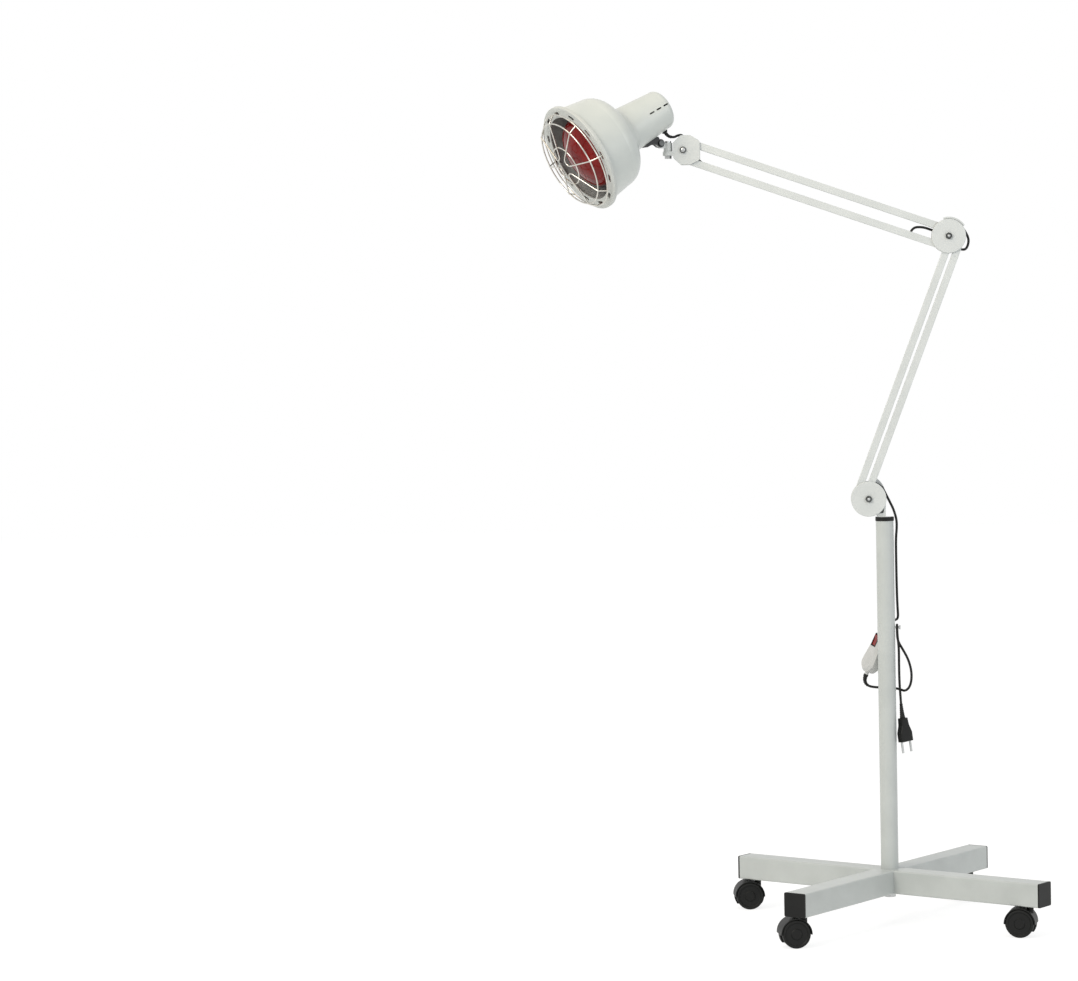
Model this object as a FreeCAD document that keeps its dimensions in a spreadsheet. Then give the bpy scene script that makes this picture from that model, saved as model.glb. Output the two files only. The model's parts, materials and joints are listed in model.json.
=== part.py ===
"""Infrared heat therapy lamp on a rolling stand: swing arms, red reflector bulb and mains cord.

Frame: millimetres, +Z up, origin on the floor under the column's axis. The arm lies in the XZ plane
and reaches toward -X. Each joint is built about its own bolt or pivot and then placed.
"""

import FreeCAD, Part
import math
import os

import Sketcher

V = FreeCAD.Vector
X_AXIS = V(1, 0, 0)
Y_AXIS = V(0, 1, 0)
Z_AXIS = V(0, 0, 1)

doc = FreeCAD.newDocument("therapy_lamp")
sheet = doc.addObject("Spreadsheet::Sheet", "size")


# ---------------------------------------------------------------- sizes and the sheet behind them


class Size:
    """A number together with the sheet formula that it comes from."""

    def __init__(self, value, text):
        self.value = float(value)
        self.text = text

    def __add__(self, other):
        return Size(self.value + number(other), f"({self.text} + {formula(other)})")

    def __radd__(self, other):
        return Size(number(other) + self.value, f"({formula(other)} + {self.text})")

    def __sub__(self, other):
        return Size(self.value - number(other), f"({self.text} - {formula(other)})")

    def __rsub__(self, other):
        return Size(number(other) - self.value, f"({formula(other)} - {self.text})")

    def __mul__(self, other):
        return Size(self.value * number(other), f"({self.text} * {formula(other)})")

    def __rmul__(self, other):
        return self * other

    def __truediv__(self, other):
        return Size(self.value / number(other), f"({self.text} / {formula(other)})")

    def __neg__(self):
        return Size(-self.value, f"(0 - {self.text})")


def number(amount):
    return amount.value if isinstance(amount, Size) else float(amount)


def formula(amount):
    return amount.text if isinstance(amount, Size) else repr(float(amount))


def size(alias, amount):
    """Writes one driving dimension in the next row of the sheet."""
    size.row += 1
    sheet.set(f"A{size.row}", alias)
    sheet.set(f"B{size.row}", str(amount))
    sheet.setAlias(f"B{size.row}", alias)
    return Size(amount, f"size.{alias}")


size.row = 0


def sine(angle):
    return Size(math.sin(math.radians(angle.value)), f"sin({angle.text})")


def cosine(angle):
    return Size(math.cos(math.radians(angle.value)), f"cos({angle.text})")


# Clearances and common stock
running = size("running_clearance", 0.08)
side_gap = size("side_gap", 0.5)
touch = size("touch_gap", 0.1)
bolt_d = size("bolt_diameter", 6)
bolt_head_d = size("bolt_head_diameter", 11)
bolt_head_h = size("bolt_head_height", 3)
nut_across = size("nut_circumradius", 5.8)
nut_h = size("nut_height", 5)
spacer_d = size("spacer_diameter", 10)

# Rolling base
tube_side = size("tube_side", 40)
tube_wall = size("tube_wall", 1.5)
tube_corner = size("tube_corner_radius", 2.5)
leg_reach = size("leg_reach", 299.5)
leg_azimuth = size("leg_azimuth", 146.9)
leg_clearance = size("floor_to_leg", 52.1)
cap_flange = size("cap_flange", 3)
cap_plug = size("cap_plug_length", 14)
cap_wall = size("cap_wall", 2)
hub_bolt_d = size("hub_bolt_diameter", 10)
hub_head_h = size("hub_head_height", 6.5)
hub_head_r = size("hub_head_circumradius", 9.8)
hub_washer_d = size("hub_washer_diameter", 24)
hub_washer_t = size("hub_washer_thickness", 2)
hub_plug_h = size("hub_plug_height", 25)

# Casters
wheel_d = size("wheel_diameter", 47)
wheel_w = size("wheel_width", 13)
web_t = size("caster_web_thickness", 11)
wheel_gap = size("wheel_side_gap", 0.6)
hood_gap = size("hood_gap", 0.9)
hood_wall = size("hood_wall", 1.8)
trail = size("caster_trail", 16)
axle_d = size("axle_diameter", 6)
stem_d = size("stem_diameter", 8)
stem_inset = size("stem_inset", 28)
neck_d = size("caster_neck_diameter", 11)
caster_a = size("caster_a_heading", 187)
caster_b = size("caster_b_heading", 192)
caster_c = size("caster_c_heading", 168)
caster_d = size("caster_d_heading", 176)
hood_drop = size("hood_below_axle", 1)
web_bottom = size("web_above_floor", 9)
neck_low = size("caster_neck_above_axle", 14)
stem_depth = size("stem_socket_depth", 26)
stem_nut = size("stem_nut_circumradius", 7.5)
stem_nut_h = size("stem_nut_height", 5)
wheel_round = size("wheel_edge_radius", 2)
wheel_band = size("wheel_tread_depth", 4)
wheel_hub_r = size("wheel_hub_radius", 8)
wheel_dish = size("wheel_dish_depth", 1.5)

# Column and swivel
column_d = size("column_diameter", 30)
column_wall = size("column_wall", 1.5)
column_length = size("column_length", 596)
collar_h = size("collar_height", 7)
collar_lip = size("collar_overhang", 0.8)
collar_sleeve = size("collar_sleeve_length", 24)
spigot_d = size("spigot_diameter", 14)
spigot_length = size("spigot_length", 70)
spigot_chamfer = size("spigot_chamfer", 1.5)
flange_d = size("spigot_flange_diameter", 25)
flange_t = size("spigot_flange_thickness", 3)

# Joint plates, bars and pivots
bar_side = size("bar_side", 12)
bar_wall = size("bar_wall", 1.2)
bar_plug = size("bar_plug_length", 8.5)
bar_neck = size("bar_neck_length", 8)
plate_t = size("plate_thickness", 3)
disc_d = size("disc_diameter", 60)
pin_d = size("pivot_pin_diameter", 5)
pin_seat = size("pivot_pin_seat", 1.6)
open_gap = size("open_pivot_gap", 0.35)
joint_reach = size("column_to_base_bolt", 26.5)
joint_rise = size("collar_to_base_bolt", 30.7)
outer_x = size("outer_pivot_x", 22.1)
outer_z = size("outer_pivot_z", 2.3)
inner_x = size("inner_pivot_x", 1.6)
inner_z = size("inner_pivot_z", 17.2)
lower_length = size("lower_arm_length", 454.4)
lower_angle = size("lower_arm_angle", 69.1)
upper_length = size("upper_arm_length", 449.9)
upper_rise = size("upper_arm_rise", 19.8)
pair_spread = size("upper_pivot_spread", 31.5)
back_pivot_x = size("elbow_upper_pivot_x", 16)
back_pivot_lift = size("elbow_upper_pivot_lift", 1)
front_pivot_x = size("front_pivot_x", 8)
front_pivot_drop = size("front_pivot_drop", 2.3)
guard_r = size("cord_guard_radius", 29.6)
guard_t = size("cord_guard_thickness", 2.9)
guard_from = size("cord_guard_from", 33)
guard_to = size("cord_guard_to", 105)
elbow_r = size("elbow_disc_radius", 29)
plate_round = size("plate_edge_radius", 1.2)
web_t_joint = size("bracket_web_thickness", 3)
web_right = size("bracket_web_outer_face", 28.7)
web_top = size("bracket_web_top", 1)
foot_t = size("bracket_foot_thickness", 6)
foot_left = size("bracket_foot_edge", 14)
web_round = size("bracket_web_fillet", 4)
flank_top = size("bracket_flank_height", 8)
shoulder_x = size("bracket_shoulder_x", 15)
shoulder_z = size("bracket_shoulder_height", 34)
shoulder_bow = size("bracket_shoulder_bow", 34)
bar_round = size("bar_edge_radius", 1)
cord_hole_l = size("cord_hole_length", 5)
cord_exit_base = size("cord_hole_from_base", 12)
cord_exit_lower = size("cord_hole_from_elbow_lower", 20)
cord_exit_upper = size("cord_hole_from_elbow_upper", 53)
cord_slot_l = size("cord_slot_length", 16)
cord_slot_at = size("cord_slot_from_front", 21)

# Front bracket, swivel knuckle and tilt screw
front_left = size("front_plate_left", 17)
front_right = size("front_plate_right", 28.5)
front_high = size("front_plate_top", 25)
front_low_edge = size("front_plate_bottom", 25)
front_nose = size("front_plate_nose", 13)
front_step = size("front_plate_step", 10)
front_side = size("front_plate_left_half", 13)
front_low_right = size("front_plate_right_drop", 17)
front_shoulder = size("front_plate_shoulder", 4.5)
front_round = size("front_plate_corner", 4)
pan_reach = size("front_bolt_to_pan", 25.7)
lug_top = size("lug_top_below_bolt", 2)
lug_t = size("lug_thickness", 7)
lug_r = size("lug_radius", 9)
lug_tongue = size("lug_tongue_length", 5)
stud_d = size("pan_stud_diameter", 6)
barrel_d = size("knuckle_barrel_diameter", 15)
barrel_h = size("knuckle_barrel_height", 14.6)
knuckle_t = size("knuckle_ear_thickness", 7)
knuckle_r = size("knuckle_ear_radius", 6.2)
knuckle_neck_h = size("knuckle_neck_height", 9)
tilt_reach = size("pan_to_tilt", 17)
tilt_rise = size("front_bolt_to_tilt", 12)
tilt_screw_d = size("tilt_screw_diameter", 5)
tilt_head_r = size("tilt_screw_head_radius", 4.6)
ear_r = size("bracket_ear_radius", 7)
ear_t = size("bracket_ear_thickness", 3)
ear_gap = size("bracket_ear_gap", 0.3)
saddle_l = size("saddle_length", 27)
saddle_ahead = size("saddle_ahead_of_screw", 14.4)
saddle_w = size("saddle_width", 22)
saddle_rise = size("saddle_rise", 6.6)
saddle_h = size("saddle_height", 6)

# Head: places run from the rim plane along the head's axis toward the neck end
head_yaw = size("head_yaw", 30.3)
head_tilt = size("head_tilt", 28.2)
tilt_along = size("rim_to_tilt_screw", 146.4)
tilt_below = size("axis_to_tilt_screw", 49)
shade_wall = size("shade_wall", 1.2)
mouth_r = size("shade_mouth_radius", 90)
drum_r = size("shade_drum_radius", 82)
drum_end = size("shade_drum_end", 52)
shoulder_round = size("shade_shoulder_bow", 30)
shoulder_r = size("shade_shoulder_radius", 62)
shoulder_at = size("shade_shoulder_place", 80)
throat_r = size("shade_throat_radius", 46)
throat_at = size("shade_throat_place", 92)
throat_round = size("shade_throat_bow", 12)
neck_start_r = size("neck_start_radius", 40)
neck_start = size("neck_start_place", 102)
neck_end_r = size("neck_end_radius", 34.4)
neck_end = size("neck_end_place", 172)
dome_round = size("neck_dome_bow", 11)
dome_r = size("neck_dome_flat_radius", 24)
head_length = size("head_length", 184)
rim_r = size("rim_radius", 95.5)
opening_r = size("rim_opening_radius", 77)
rim_t = size("rim_thickness", 1.6)
rim_lip = size("rim_lip_depth", 4)
slot_mid_r = size("rim_slot_radius", 84)
slot_w = size("rim_slot_width", 6)
slot_l = size("rim_slot_length", 15.5)
SLOT_COUNT = 12
vent_w = size("vent_width", 2.6)
vent_l = size("vent_length", 10.5)
vent_pitch = size("vent_pitch", 15.6)
vent_first = size("vent_first_place", 142)
vent_turn = size("vent_turn", 14)

# Wire guard
wire_d = size("wire_diameter", 2.4)
guard_front = size("guard_front", 33)
guard_step = size("guard_shoulder", 22)
guard_step_r = size("guard_shoulder_radius", 76)
guard_foot = size("guard_foot", 9)
guard_leg = size("guard_leg_length", 13)
guard_mid_r = size("guard_middle_radius", 34)
weld = size("guard_weld_depth", 0.6)
hairpin_r = size("hairpin_end_radius", 16)
hairpin_bend = size("hairpin_bend_radius", 9)
wire_bend = size("wire_bend_radius", 6)

# Bulb and lamp holder
bulb_r = size("bulb_radius", 62.5)
bulb_wall = size("bulb_wall", 1.4)
bulb_front = size("bulb_face_ahead_of_rim", 10)
bulb_face_r = size("bulb_face_edge_radius", 52)
bulb_face_at = size("bulb_face_edge_place", 4.5)
bulb_side_bow = size("bulb_side_bow", 22)
bulb_widest = size("bulb_widest_place", 22)
bulb_cone_at = size("bulb_cone_place", 34)
bulb_cone_r = size("bulb_cone_radius", 59)
bulb_neck_r = size("bulb_neck_radius", 20)
bulb_neck_at = size("bulb_neck_place", 95)
cap_r = size("bulb_cap_radius", 13)
cap_at = size("bulb_cap_place", 118)
cap_end = size("bulb_cap_end", 144)
cap_tip_r = size("bulb_cap_tip_radius", 5)
cap_tip = size("bulb_cap_tip_length", 3)
holder_r = size("holder_radius", 20)
holder_gap = size("holder_gap", 0.3)
holder_at = size("holder_place", 122)
holder_end = size("holder_end", 172)
holder_stem_r = size("holder_stem_radius", 9)
grommet_r = size("grommet_radius", 5.5)
grommet_waist = size("grommet_waist_radius", 3.9)
grommet_h = size("grommet_height", 3)
grommet_bevel = size("grommet_bevel", 1)
grommet_seat = size("grommet_seat_gap", 0.5)
grommet_at = size("grommet_place", 165.5)

# Cord, peg, in-line switch and plug
cord_d = size("cord_diameter", 4.2)
cord_drop = size("cord_drop_below_neck", 10)
peg_d = size("peg_diameter", 4)
peg_head_d = size("peg_head_diameter", 7)
peg_head_t = size("peg_head_thickness", 2.2)
peg_reach = size("peg_reach", 7)
peg_height = size("peg_height", 505.6)
switch_lean = size("switch_lean", 25)
switch_yaw = size("switch_heading", 60)
switch_l = size("switch_length", 80)
switch_w = size("switch_width", 38)
switch_t = size("switch_thickness", 23)
switch_top_w = size("switch_top_width", 20)
switch_bevel = size("switch_bevel", 5)
switch_nub = size("switch_nub_length", 4)
switch_nub_wall = size("switch_nub_wall", 1.5)
frame_wall = size("switch_frame_wall", 1.4)
frame_depth = size("switch_frame_depth", 9)
frame_proud = size("switch_frame_proud", 0.8)
rocker_l = size("rocker_length", 18)
rocker_w = size("rocker_width", 11)
rocker_gap = size("rocker_gap", 0.9)
rocker_side = size("rocker_side_gap", 0.3)
rocker_place = size("rocker_place", 17)
rocker_depth = size("rocker_pivot_depth", 3)
rocker_h = size("rocker_height", 3.6)
rocker_dip = size("rocker_dip", 1)
rocker_tail = size("rocker_tail", 3.5)
rocker_tilt = size("rocker_tilt", 7)
plug_lean = size("plug_lean", 7)
plug_yaw = size("plug_heading", 40)
plug_l = size("plug_length", 40)
plug_w = size("plug_width", 25)
plug_top_w = size("plug_top_width", 12.8)
plug_waist_w = size("plug_waist_width", 15.4)
plug_t = size("plug_thickness", 14)
plug_round = size("plug_edge_radius", 3)
plug_square = size("plug_square_share", 0.62)
plug_waist = size("plug_waist_share", 0.3)
plug_pin_d = size("plug_pin_diameter", 4)
plug_pin_l = size("plug_pin_length", 19)
plug_pin_seat = size("plug_pin_seat", 6)
plug_shank_d = size("plug_pin_shank_diameter", 3)
plug_shank_l = size("plug_pin_shank_length", 1)
plug_pin_spread = size("plug_pin_spacing", 18.6)

doc.recompute()

FULL_TURN = 360.0
HALF_TURN = 180.0
QUARTER = 90.0
LEG_COUNT = 4
VENT_COUNT = 3
HAIRPIN_COUNT = 4
TINY = 1e-6
CUT_PAST = 0.5  # how far a cut runs past the face that it opens
FACE_SLANT = 0.7  # share of a wall that each coordinate steps in at a slanted corner
VOLUME_SLACK = 0.002  # share by which a sweep's volume may differ
RUN_SHARE = 0.45  # share of a cord's straight run that one arc may use
LARGEST_ARC = 400.0
PEG_ARC = 4.2
PEG_ARC_LIMIT = 4.62  # arcs tighter than this become peg arcs


# ---------------------------------------------------------------- tools

pieces = []


def keep(made, label):
    """Names a finished sub-part; the label is also its file's name."""
    made.Label = label
    pieces.append(made)
    return made


def bind(made, field, amount):
    made.setExpression(field, formula(amount))


def new_body(name):
    return doc.addObject("PartDesign::Body", name)


def origin_feature(body, role):
    return next(f for f in body.Origin.OriginFeatures if f.Role == role)


def sketch_on(body, role, offset=0.0, lean=None):
    """A sketch on one of the body's own planes, moved along that plane's normal.
    A lean turns it about its own X axis by that many degrees."""
    sketch = body.newObject("Sketcher::SketchObject", f"{body.Name}_sketch")
    sketch.AttachmentSupport = (origin_feature(body, role), [""])
    sketch.MapMode = "FlatFace"
    if lean is None:
        bind(sketch, "AttachmentOffset.Base.z", offset)
        return sketch
    sketch.AttachmentOffset = FreeCAD.Placement(V(), FreeCAD.Rotation(X_AXIS, 1))
    bind(sketch, "AttachmentOffset.Rotation.Angle", lean)
    return sketch


def fix_point(sketch, edge, end, x, y):
    """Ties an edge's end, or a circle's centre, to a place given by the sheet."""
    for kind, amount in (("DistanceX", x), ("DistanceY", y)):
        rule = Sketcher.Constraint(kind, -1, 1, edge, end, number(amount))
        index = sketch.addConstraint(rule)
        bind(sketch, f"Constraints[{index}]", amount)


def draw_circle(sketch, x, y, radius):
    centre = V(number(x), number(y), 0)
    edge = sketch.addGeometry(Part.Circle(centre, Z_AXIS, number(radius)), False)
    fix_point(sketch, edge, 3, x, y)
    index = sketch.addConstraint(Sketcher.Constraint("Radius", edge, number(radius)))
    bind(sketch, f"Constraints[{index}]", radius)


def arc_between(start, end, radius):
    """The short arc from start to end: counter-clockwise for a positive radius."""
    chord = end - start
    reach = abs(radius)
    rise = math.sqrt(max(reach**2 - chord.Length**2 / 4, 0))
    side = V(-chord.y, chord.x, 0).normalize() * math.copysign(rise, radius)
    centre = (start + end) / 2 + side
    first, last = (start, end) if radius > 0 else (end, start)
    turn = [math.atan2(p.y - centre.y, p.x - centre.x) for p in (first, last)]
    return Part.ArcOfCircle(Part.Circle(centre, Z_AXIS, reach), turn[0], turn[1])


def draw_outline(sketch, corners):
    """A closed outline. A corner's third item is the radius of the arc that leaves it,
    positive for a counter-clockwise arc."""
    places = [V(number(c[0]), number(c[1]), 0) for c in corners]
    ends = []
    for index, corner in enumerate(corners):
        start = places[index]
        end = places[(index + 1) % len(corners)]
        if len(corner) == 2:
            edge = sketch.addGeometry(Part.LineSegment(start, end), False)
            ends.append((edge, 1, 2))
            continue
        bend = number(corner[2])
        edge = sketch.addGeometry(arc_between(start, end, bend), False)
        ends.append((edge, 1, 2) if bend > 0 else (edge, 2, 1))
        reach = corner[2] if bend > 0 else 0 - corner[2]
        rule = sketch.addConstraint(Sketcher.Constraint("Radius", edge, abs(bend)))
        bind(sketch, f"Constraints[{rule}]", reach)
    for index, (edge, start, _) in enumerate(ends):
        last_edge, _, last_end = ends[index - 1]
        sketch.addConstraint(
            Sketcher.Constraint("Coincident", last_edge, last_end, edge, start)
        )
        fix_point(sketch, edge, start, corners[index][0], corners[index][1])


def draw_box(sketch, x_low, x_high, y_low, y_high):
    corners = [(x_low, y_low), (x_high, y_low), (x_high, y_high), (x_low, y_high)]
    draw_outline(sketch, corners)


def draw_round_square(sketch, half, corner):
    """A square about the origin with round corners."""
    inner = half - corner
    low = 0 - half
    low_inner = 0 - inner
    draw_outline(
        sketch,
        [
            (low_inner, low),
            (inner, low, corner),
            (half, low_inner),
            (half, inner, corner),
            (inner, half),
            (low_inner, half, corner),
            (low, inner),
            (low, low_inner, corner),
        ],
    )


def draw_slot(sketch, x, y, length, width):
    """A slot with round ends, long in X."""
    bend = width / 2
    half = length / 2 - bend
    draw_outline(
        sketch,
        [
            (x - half, y - bend),
            (x + half, y - bend, bend),
            (x + half + bend, y, bend),
            (x + half, y + bend),
            (x - half, y + bend, bend),
            (x - half - bend, y, bend),
        ],
    )


def draw_sector(sketch, inner, outer, start, end):
    """A ring sector about the origin."""
    draw_outline(
        sketch,
        [
            (outer * cosine(start), outer * sine(start), outer),
            (outer * cosine(end), outer * sine(end)),
            (inner * cosine(end), inner * sine(end), 0 - inner),
            (inner * cosine(start), inner * sine(start)),
        ],
    )


def extrude(body, kind, sketch, length, both_ways, backward=False):
    made = body.newObject(f"PartDesign::{kind}", f"{body.Name}_{kind.lower()}")
    made.Profile = sketch
    if both_ways:
        made.SideType = "Symmetric"
    made.Reversed = backward
    bind(made, "Length", length)
    return made


def pad(body, sketch, length, both_ways=False):
    return extrude(body, "Pad", sketch, length, both_ways)


def pocket(body, sketch, length, both_ways=False, backward=False):
    """Cuts against the sketch's normal, or along it when backward."""
    before = volume_of(body)
    made = extrude(body, "Pocket", sketch, length, both_ways, backward)
    if volume_of(body) >= before:
        raise ValueError(f"a pocket in {body.Name} cuts nothing")
    return made


def volume_of(body):
    doc.recompute()
    return body.Shape.Volume


def spin(body, kind, sketch, axis):
    made = body.newObject(f"PartDesign::{kind}", f"{body.Name}_{kind.lower()}")
    made.Profile = sketch
    made.ReferenceAxis = (sketch, [axis])
    made.Angle = FULL_TURN
    return made


def polar(body, features, role, count):
    """Repeats features evenly round one of the body's axes."""
    made = body.newObject("PartDesign::PolarPattern", f"{body.Name}_pattern")
    made.Originals = features
    made.Axis = (origin_feature(body, role), [""])
    made.Angle = FULL_TURN
    made.Occurrences = count
    body.Tip = made
    return made


def round_edges(body, feature, radius, wanted, kind="Fillet"):
    """Fillets, or chamfers, the edges of a feature that wanted picks out."""
    doc.recompute()
    names = [f"Edge{i + 1}" for i, e in enumerate(feature.Shape.Edges) if wanted(e)]
    made = body.newObject(f"PartDesign::{kind}", f"{body.Name}_{kind.lower()}")
    made.Base = (feature, names)
    bind(made, "Radius" if kind == "Fillet" else "Size", radius)
    return made


def runs_along(edge, axis):
    """True for a straight edge parallel to an axis."""
    if edge.Curve.TypeId != "Part::GeomLine":
        return False
    return edge.Curve.Direction.cross(axis).Length < TINY


def layer(body, draw, low, high):
    """Pads what draw puts on the arm's plane between two depths in Y."""
    sketch = sketch_on(body, "XZ_Plane", 0 - high)
    draw(sketch)
    return pad(body, sketch, high - low)


def bore_through(body, x, z, radius, depth):
    """A hole along Y through everything within depth of the arm's plane."""
    sketch = sketch_on(body, "XZ_Plane")
    draw_circle(sketch, x, z, radius)
    return pocket(body, sketch, depth * 2, both_ways=True)


def place(made, at, turn=None):
    made.Placement = FreeCAD.Placement(at, turn or FreeCAD.Rotation())
    return made


def rod(name, radius, length, at, toward):
    made = doc.addObject("Part::Cylinder", name)
    bind(made, "Radius", radius)
    bind(made, "Height", length)
    return place(made, at, FreeCAD.Rotation(Z_AXIS, toward))


def hexagon(name, circumradius, length, at, toward):
    made = doc.addObject("Part::Prism", name)
    made.Polygon = 6
    bind(made, "Circumradius", circumradius)
    bind(made, "Height", length)
    return place(made, at, FreeCAD.Rotation(Z_AXIS, toward))


def fuse(name, shapes):
    made = doc.addObject("Part::MultiFuse", name)
    made.Shapes = shapes
    return made


def cut(name, base, tool):
    made = doc.addObject("Part::Cut", name)
    made.Base = base
    made.Tool = tool
    return made


def group(name, shapes):
    """Separate identical pieces, such as a joint's pins, that share one file."""
    made = doc.addObject("Part::Compound", name)
    made.Links = shapes
    return made


def ring(name, outer, inner, length, at, toward):
    solid = rod(f"{name}_outside", outer, length, at, toward)
    hole = rod(f"{name}_inside", inner, length, at, toward)
    return cut(name, solid, hole)


def vector(x, y, z):
    return V(number(x), number(y), number(z))


def bent_path(points, radii):
    """Straight runs joined by tangent arcs; one radius for each inner point."""
    edges = []
    last = points[0]
    for index, radius in enumerate(radii, start=1):
        corner = points[index]
        back = (points[index - 1] - corner).normalize()
        onward = (points[index + 1] - corner).normalize()
        half_turn = (math.pi - back.getAngle(onward)) / 2
        reach = radius * math.tan(half_turn)
        start = corner + back * reach
        end = corner + onward * reach
        inside = (back + onward).normalize()
        middle = corner + inside * (radius / math.cos(half_turn) - radius)
        edges.append(Part.LineSegment(last, start).toShape())
        edges.append(Part.Arc(start, middle, end).toShape())
        last = end
    edges.append(Part.LineSegment(last, points[-1]).toShape())
    return Part.Wire(edges)


def sweep(path, radius):
    """A round section carried along a path, with its volume compared."""
    toward = (path.OrderedVertexes[1].Point - path.OrderedVertexes[0].Point).normalize()
    circle = Part.Circle(path.OrderedVertexes[0].Point, toward, radius)
    section = Part.Wire([circle.toShape()])
    solid = path.makePipeShell([section], True, False)
    wanted = math.pi * radius**2 * path.Length
    if abs(solid.Volume - wanted) > VOLUME_SLACK * wanted:
        raise ValueError(f"a sweep of {path.Length:.0f} mm has the wrong volume")
    return solid


def make_cord(label, points):
    """A flexible cord through its route's points, each arc as large as its runs allow."""
    radii = []
    for before, corner, after in zip(points, points[1:], points[2:]):
        run = min((corner - before).Length, (after - corner).Length)
        turn = (corner - before).getAngle(after - corner)
        radii.append(min(RUN_SHARE * run / math.tan(turn / 2), LARGEST_ARC))
    radii = [min(r, PEG_ARC) if r < PEG_ARC_LIMIT else r for r in radii]
    path = bent_path(points, radii)
    made = doc.addObject("Part::Feature", label)
    made.Shape = sweep(path, cord_d.value / 2)
    tight = " ".join(f"{r:.1f}" for r in radii)
    print(f"{label}: {path.Length:.0f} mm, arc radii {tight}")
    return keep(made, label)


# ---------------------------------------------------------------- places that several pieces share

leg_mid_z = leg_clearance + tube_side / 2
leg_top_z = leg_clearance + tube_side
collar_bottom_z = leg_top_z + column_length
collar_top_z = collar_bottom_z + collar_h
inner_face = bar_side / 2 + side_gap
outer_face = inner_face + plate_t
disc_r = disc_d / 2
pin_r = pin_d / 2
bolt_r = bolt_d / 2

base_bolt = vector(0 - joint_reach, 0, collar_top_z + joint_rise)
base_outer = vector(0 - outer_x, 0, outer_z)
base_inner = vector(inner_x, 0, inner_z)
lower_way = vector(cosine(lower_angle), 0, sine(lower_angle))
elbow_bolt = base_bolt + base_outer + lower_way * lower_length.value + base_inner
half_spread = pair_spread / 2
elbow_top = vector(0 - back_pivot_x, 0, back_pivot_lift + half_spread)
elbow_low = vector(0 - back_pivot_x, 0, back_pivot_lift - half_spread)
front_top = vector(front_pivot_x, 0, half_spread - front_pivot_drop)
upper_way = vector(0 - cosine(upper_rise), 0, sine(upper_rise))
front_bolt = elbow_bolt + elbow_top + upper_way * upper_length.value - front_top

pan_place = front_bolt - vector(pan_reach, 0, 0)
pan_turn = FreeCAD.Rotation(Z_AXIS, head_yaw.value)
tilt_place = pan_place + pan_turn.multVec(vector(0 - tilt_reach, 0, tilt_rise))
head_turn = pan_turn.multiply(FreeCAD.Rotation(Y_AXIS * -1, head_tilt.value))
rim_place = tilt_place - head_turn.multVec(vector(tilt_along, 0, 0 - tilt_below))

clip_place = vector(column_d / 2, 0, peg_height)
switch_place = clip_place + V(-31.0, 27.0, -42.6)
switch_turn = FreeCAD.Rotation(Y_AXIS, switch_lean.value).multiply(
    FreeCAD.Rotation(Z_AXIS, -switch_yaw.value)
)
plug_place = clip_place + V(10.6, 0.0, -155.6)
plug_turn = FreeCAD.Rotation(Y_AXIS, -plug_lean.value).multiply(
    FreeCAD.Rotation(Z_AXIS, plug_yaw.value)
)


# ---------------------------------------------------------------- rolling base


def square_tube(name, start, end, stem_places):
    """A square tube along X with stem holes in its lower wall."""
    body = new_body(name)
    outside = sketch_on(body, "YZ_Plane", start)
    draw_round_square(outside, tube_side / 2, tube_corner)
    pad(body, outside, end - start)
    inside = sketch_on(body, "YZ_Plane", start - CUT_PAST)
    draw_round_square(inside, tube_side / 2 - tube_wall, tube_corner - tube_wall)
    pocket(body, inside, end - start + 2 * CUT_PAST, backward=True)
    holes = sketch_on(body, "XY_Plane", tube_wall + CUT_PAST - tube_side / 2)
    for x in stem_places:
        draw_circle(holes, x, 0, stem_d / 2 + touch)
    pocket(body, holes, tube_wall + 2 * CUT_PAST)
    return body


def make_cross():
    stem_x = leg_reach - stem_inset
    tube_end = leg_reach - cap_flange
    turn = FreeCAD.Rotation(Z_AXIS, leg_azimuth.value)
    at = vector(0, 0, leg_mid_z)
    long_tube = square_tube("long_tube", 0 - tube_end, tube_end, (stem_x, 0 - stem_x))
    hub_hole = sketch_on(long_tube, "XY_Plane")
    draw_circle(hub_hole, 0, 0, hub_bolt_d / 2 + touch)
    pocket(long_tube, hub_hole, tube_side + 2 * CUT_PAST, both_ways=True)
    keep(place(long_tube, at, turn), "cross_tube_long")
    for label, extra in (("front", QUARTER), ("back", -QUARTER)):
        short = square_tube(f"short_tube_{label}", tube_side / 2, tube_end, (stem_x,))
        heading = FreeCAD.Rotation(Z_AXIS, leg_azimuth.value + extra)
        keep(place(short, at, heading), f"cross_tube_{label}")


def make_end_cap(index, heading):
    """A black cap: a flange over the tube's end and a hollow plug inside it."""
    body = new_body(f"cap_{index}")
    flange = sketch_on(body, "YZ_Plane", leg_reach - cap_flange)
    draw_round_square(flange, tube_side / 2, tube_corner)
    pad(body, flange, cap_flange)
    plug = sketch_on(body, "YZ_Plane", leg_reach - cap_flange - cap_plug)
    plug_half = tube_side / 2 - tube_wall - touch
    draw_round_square(plug, plug_half, tube_corner - tube_wall)
    pad(body, plug, cap_plug)
    hollow = sketch_on(body, "YZ_Plane", leg_reach - cap_flange - cap_plug - CUT_PAST)
    draw_round_square(hollow, plug_half - cap_wall, tube_corner - tube_wall)
    pocket(body, hollow, cap_plug + CUT_PAST, backward=True)
    return place(body, vector(0, 0, leg_mid_z), FreeCAD.Rotation(Z_AXIS, heading))


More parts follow.
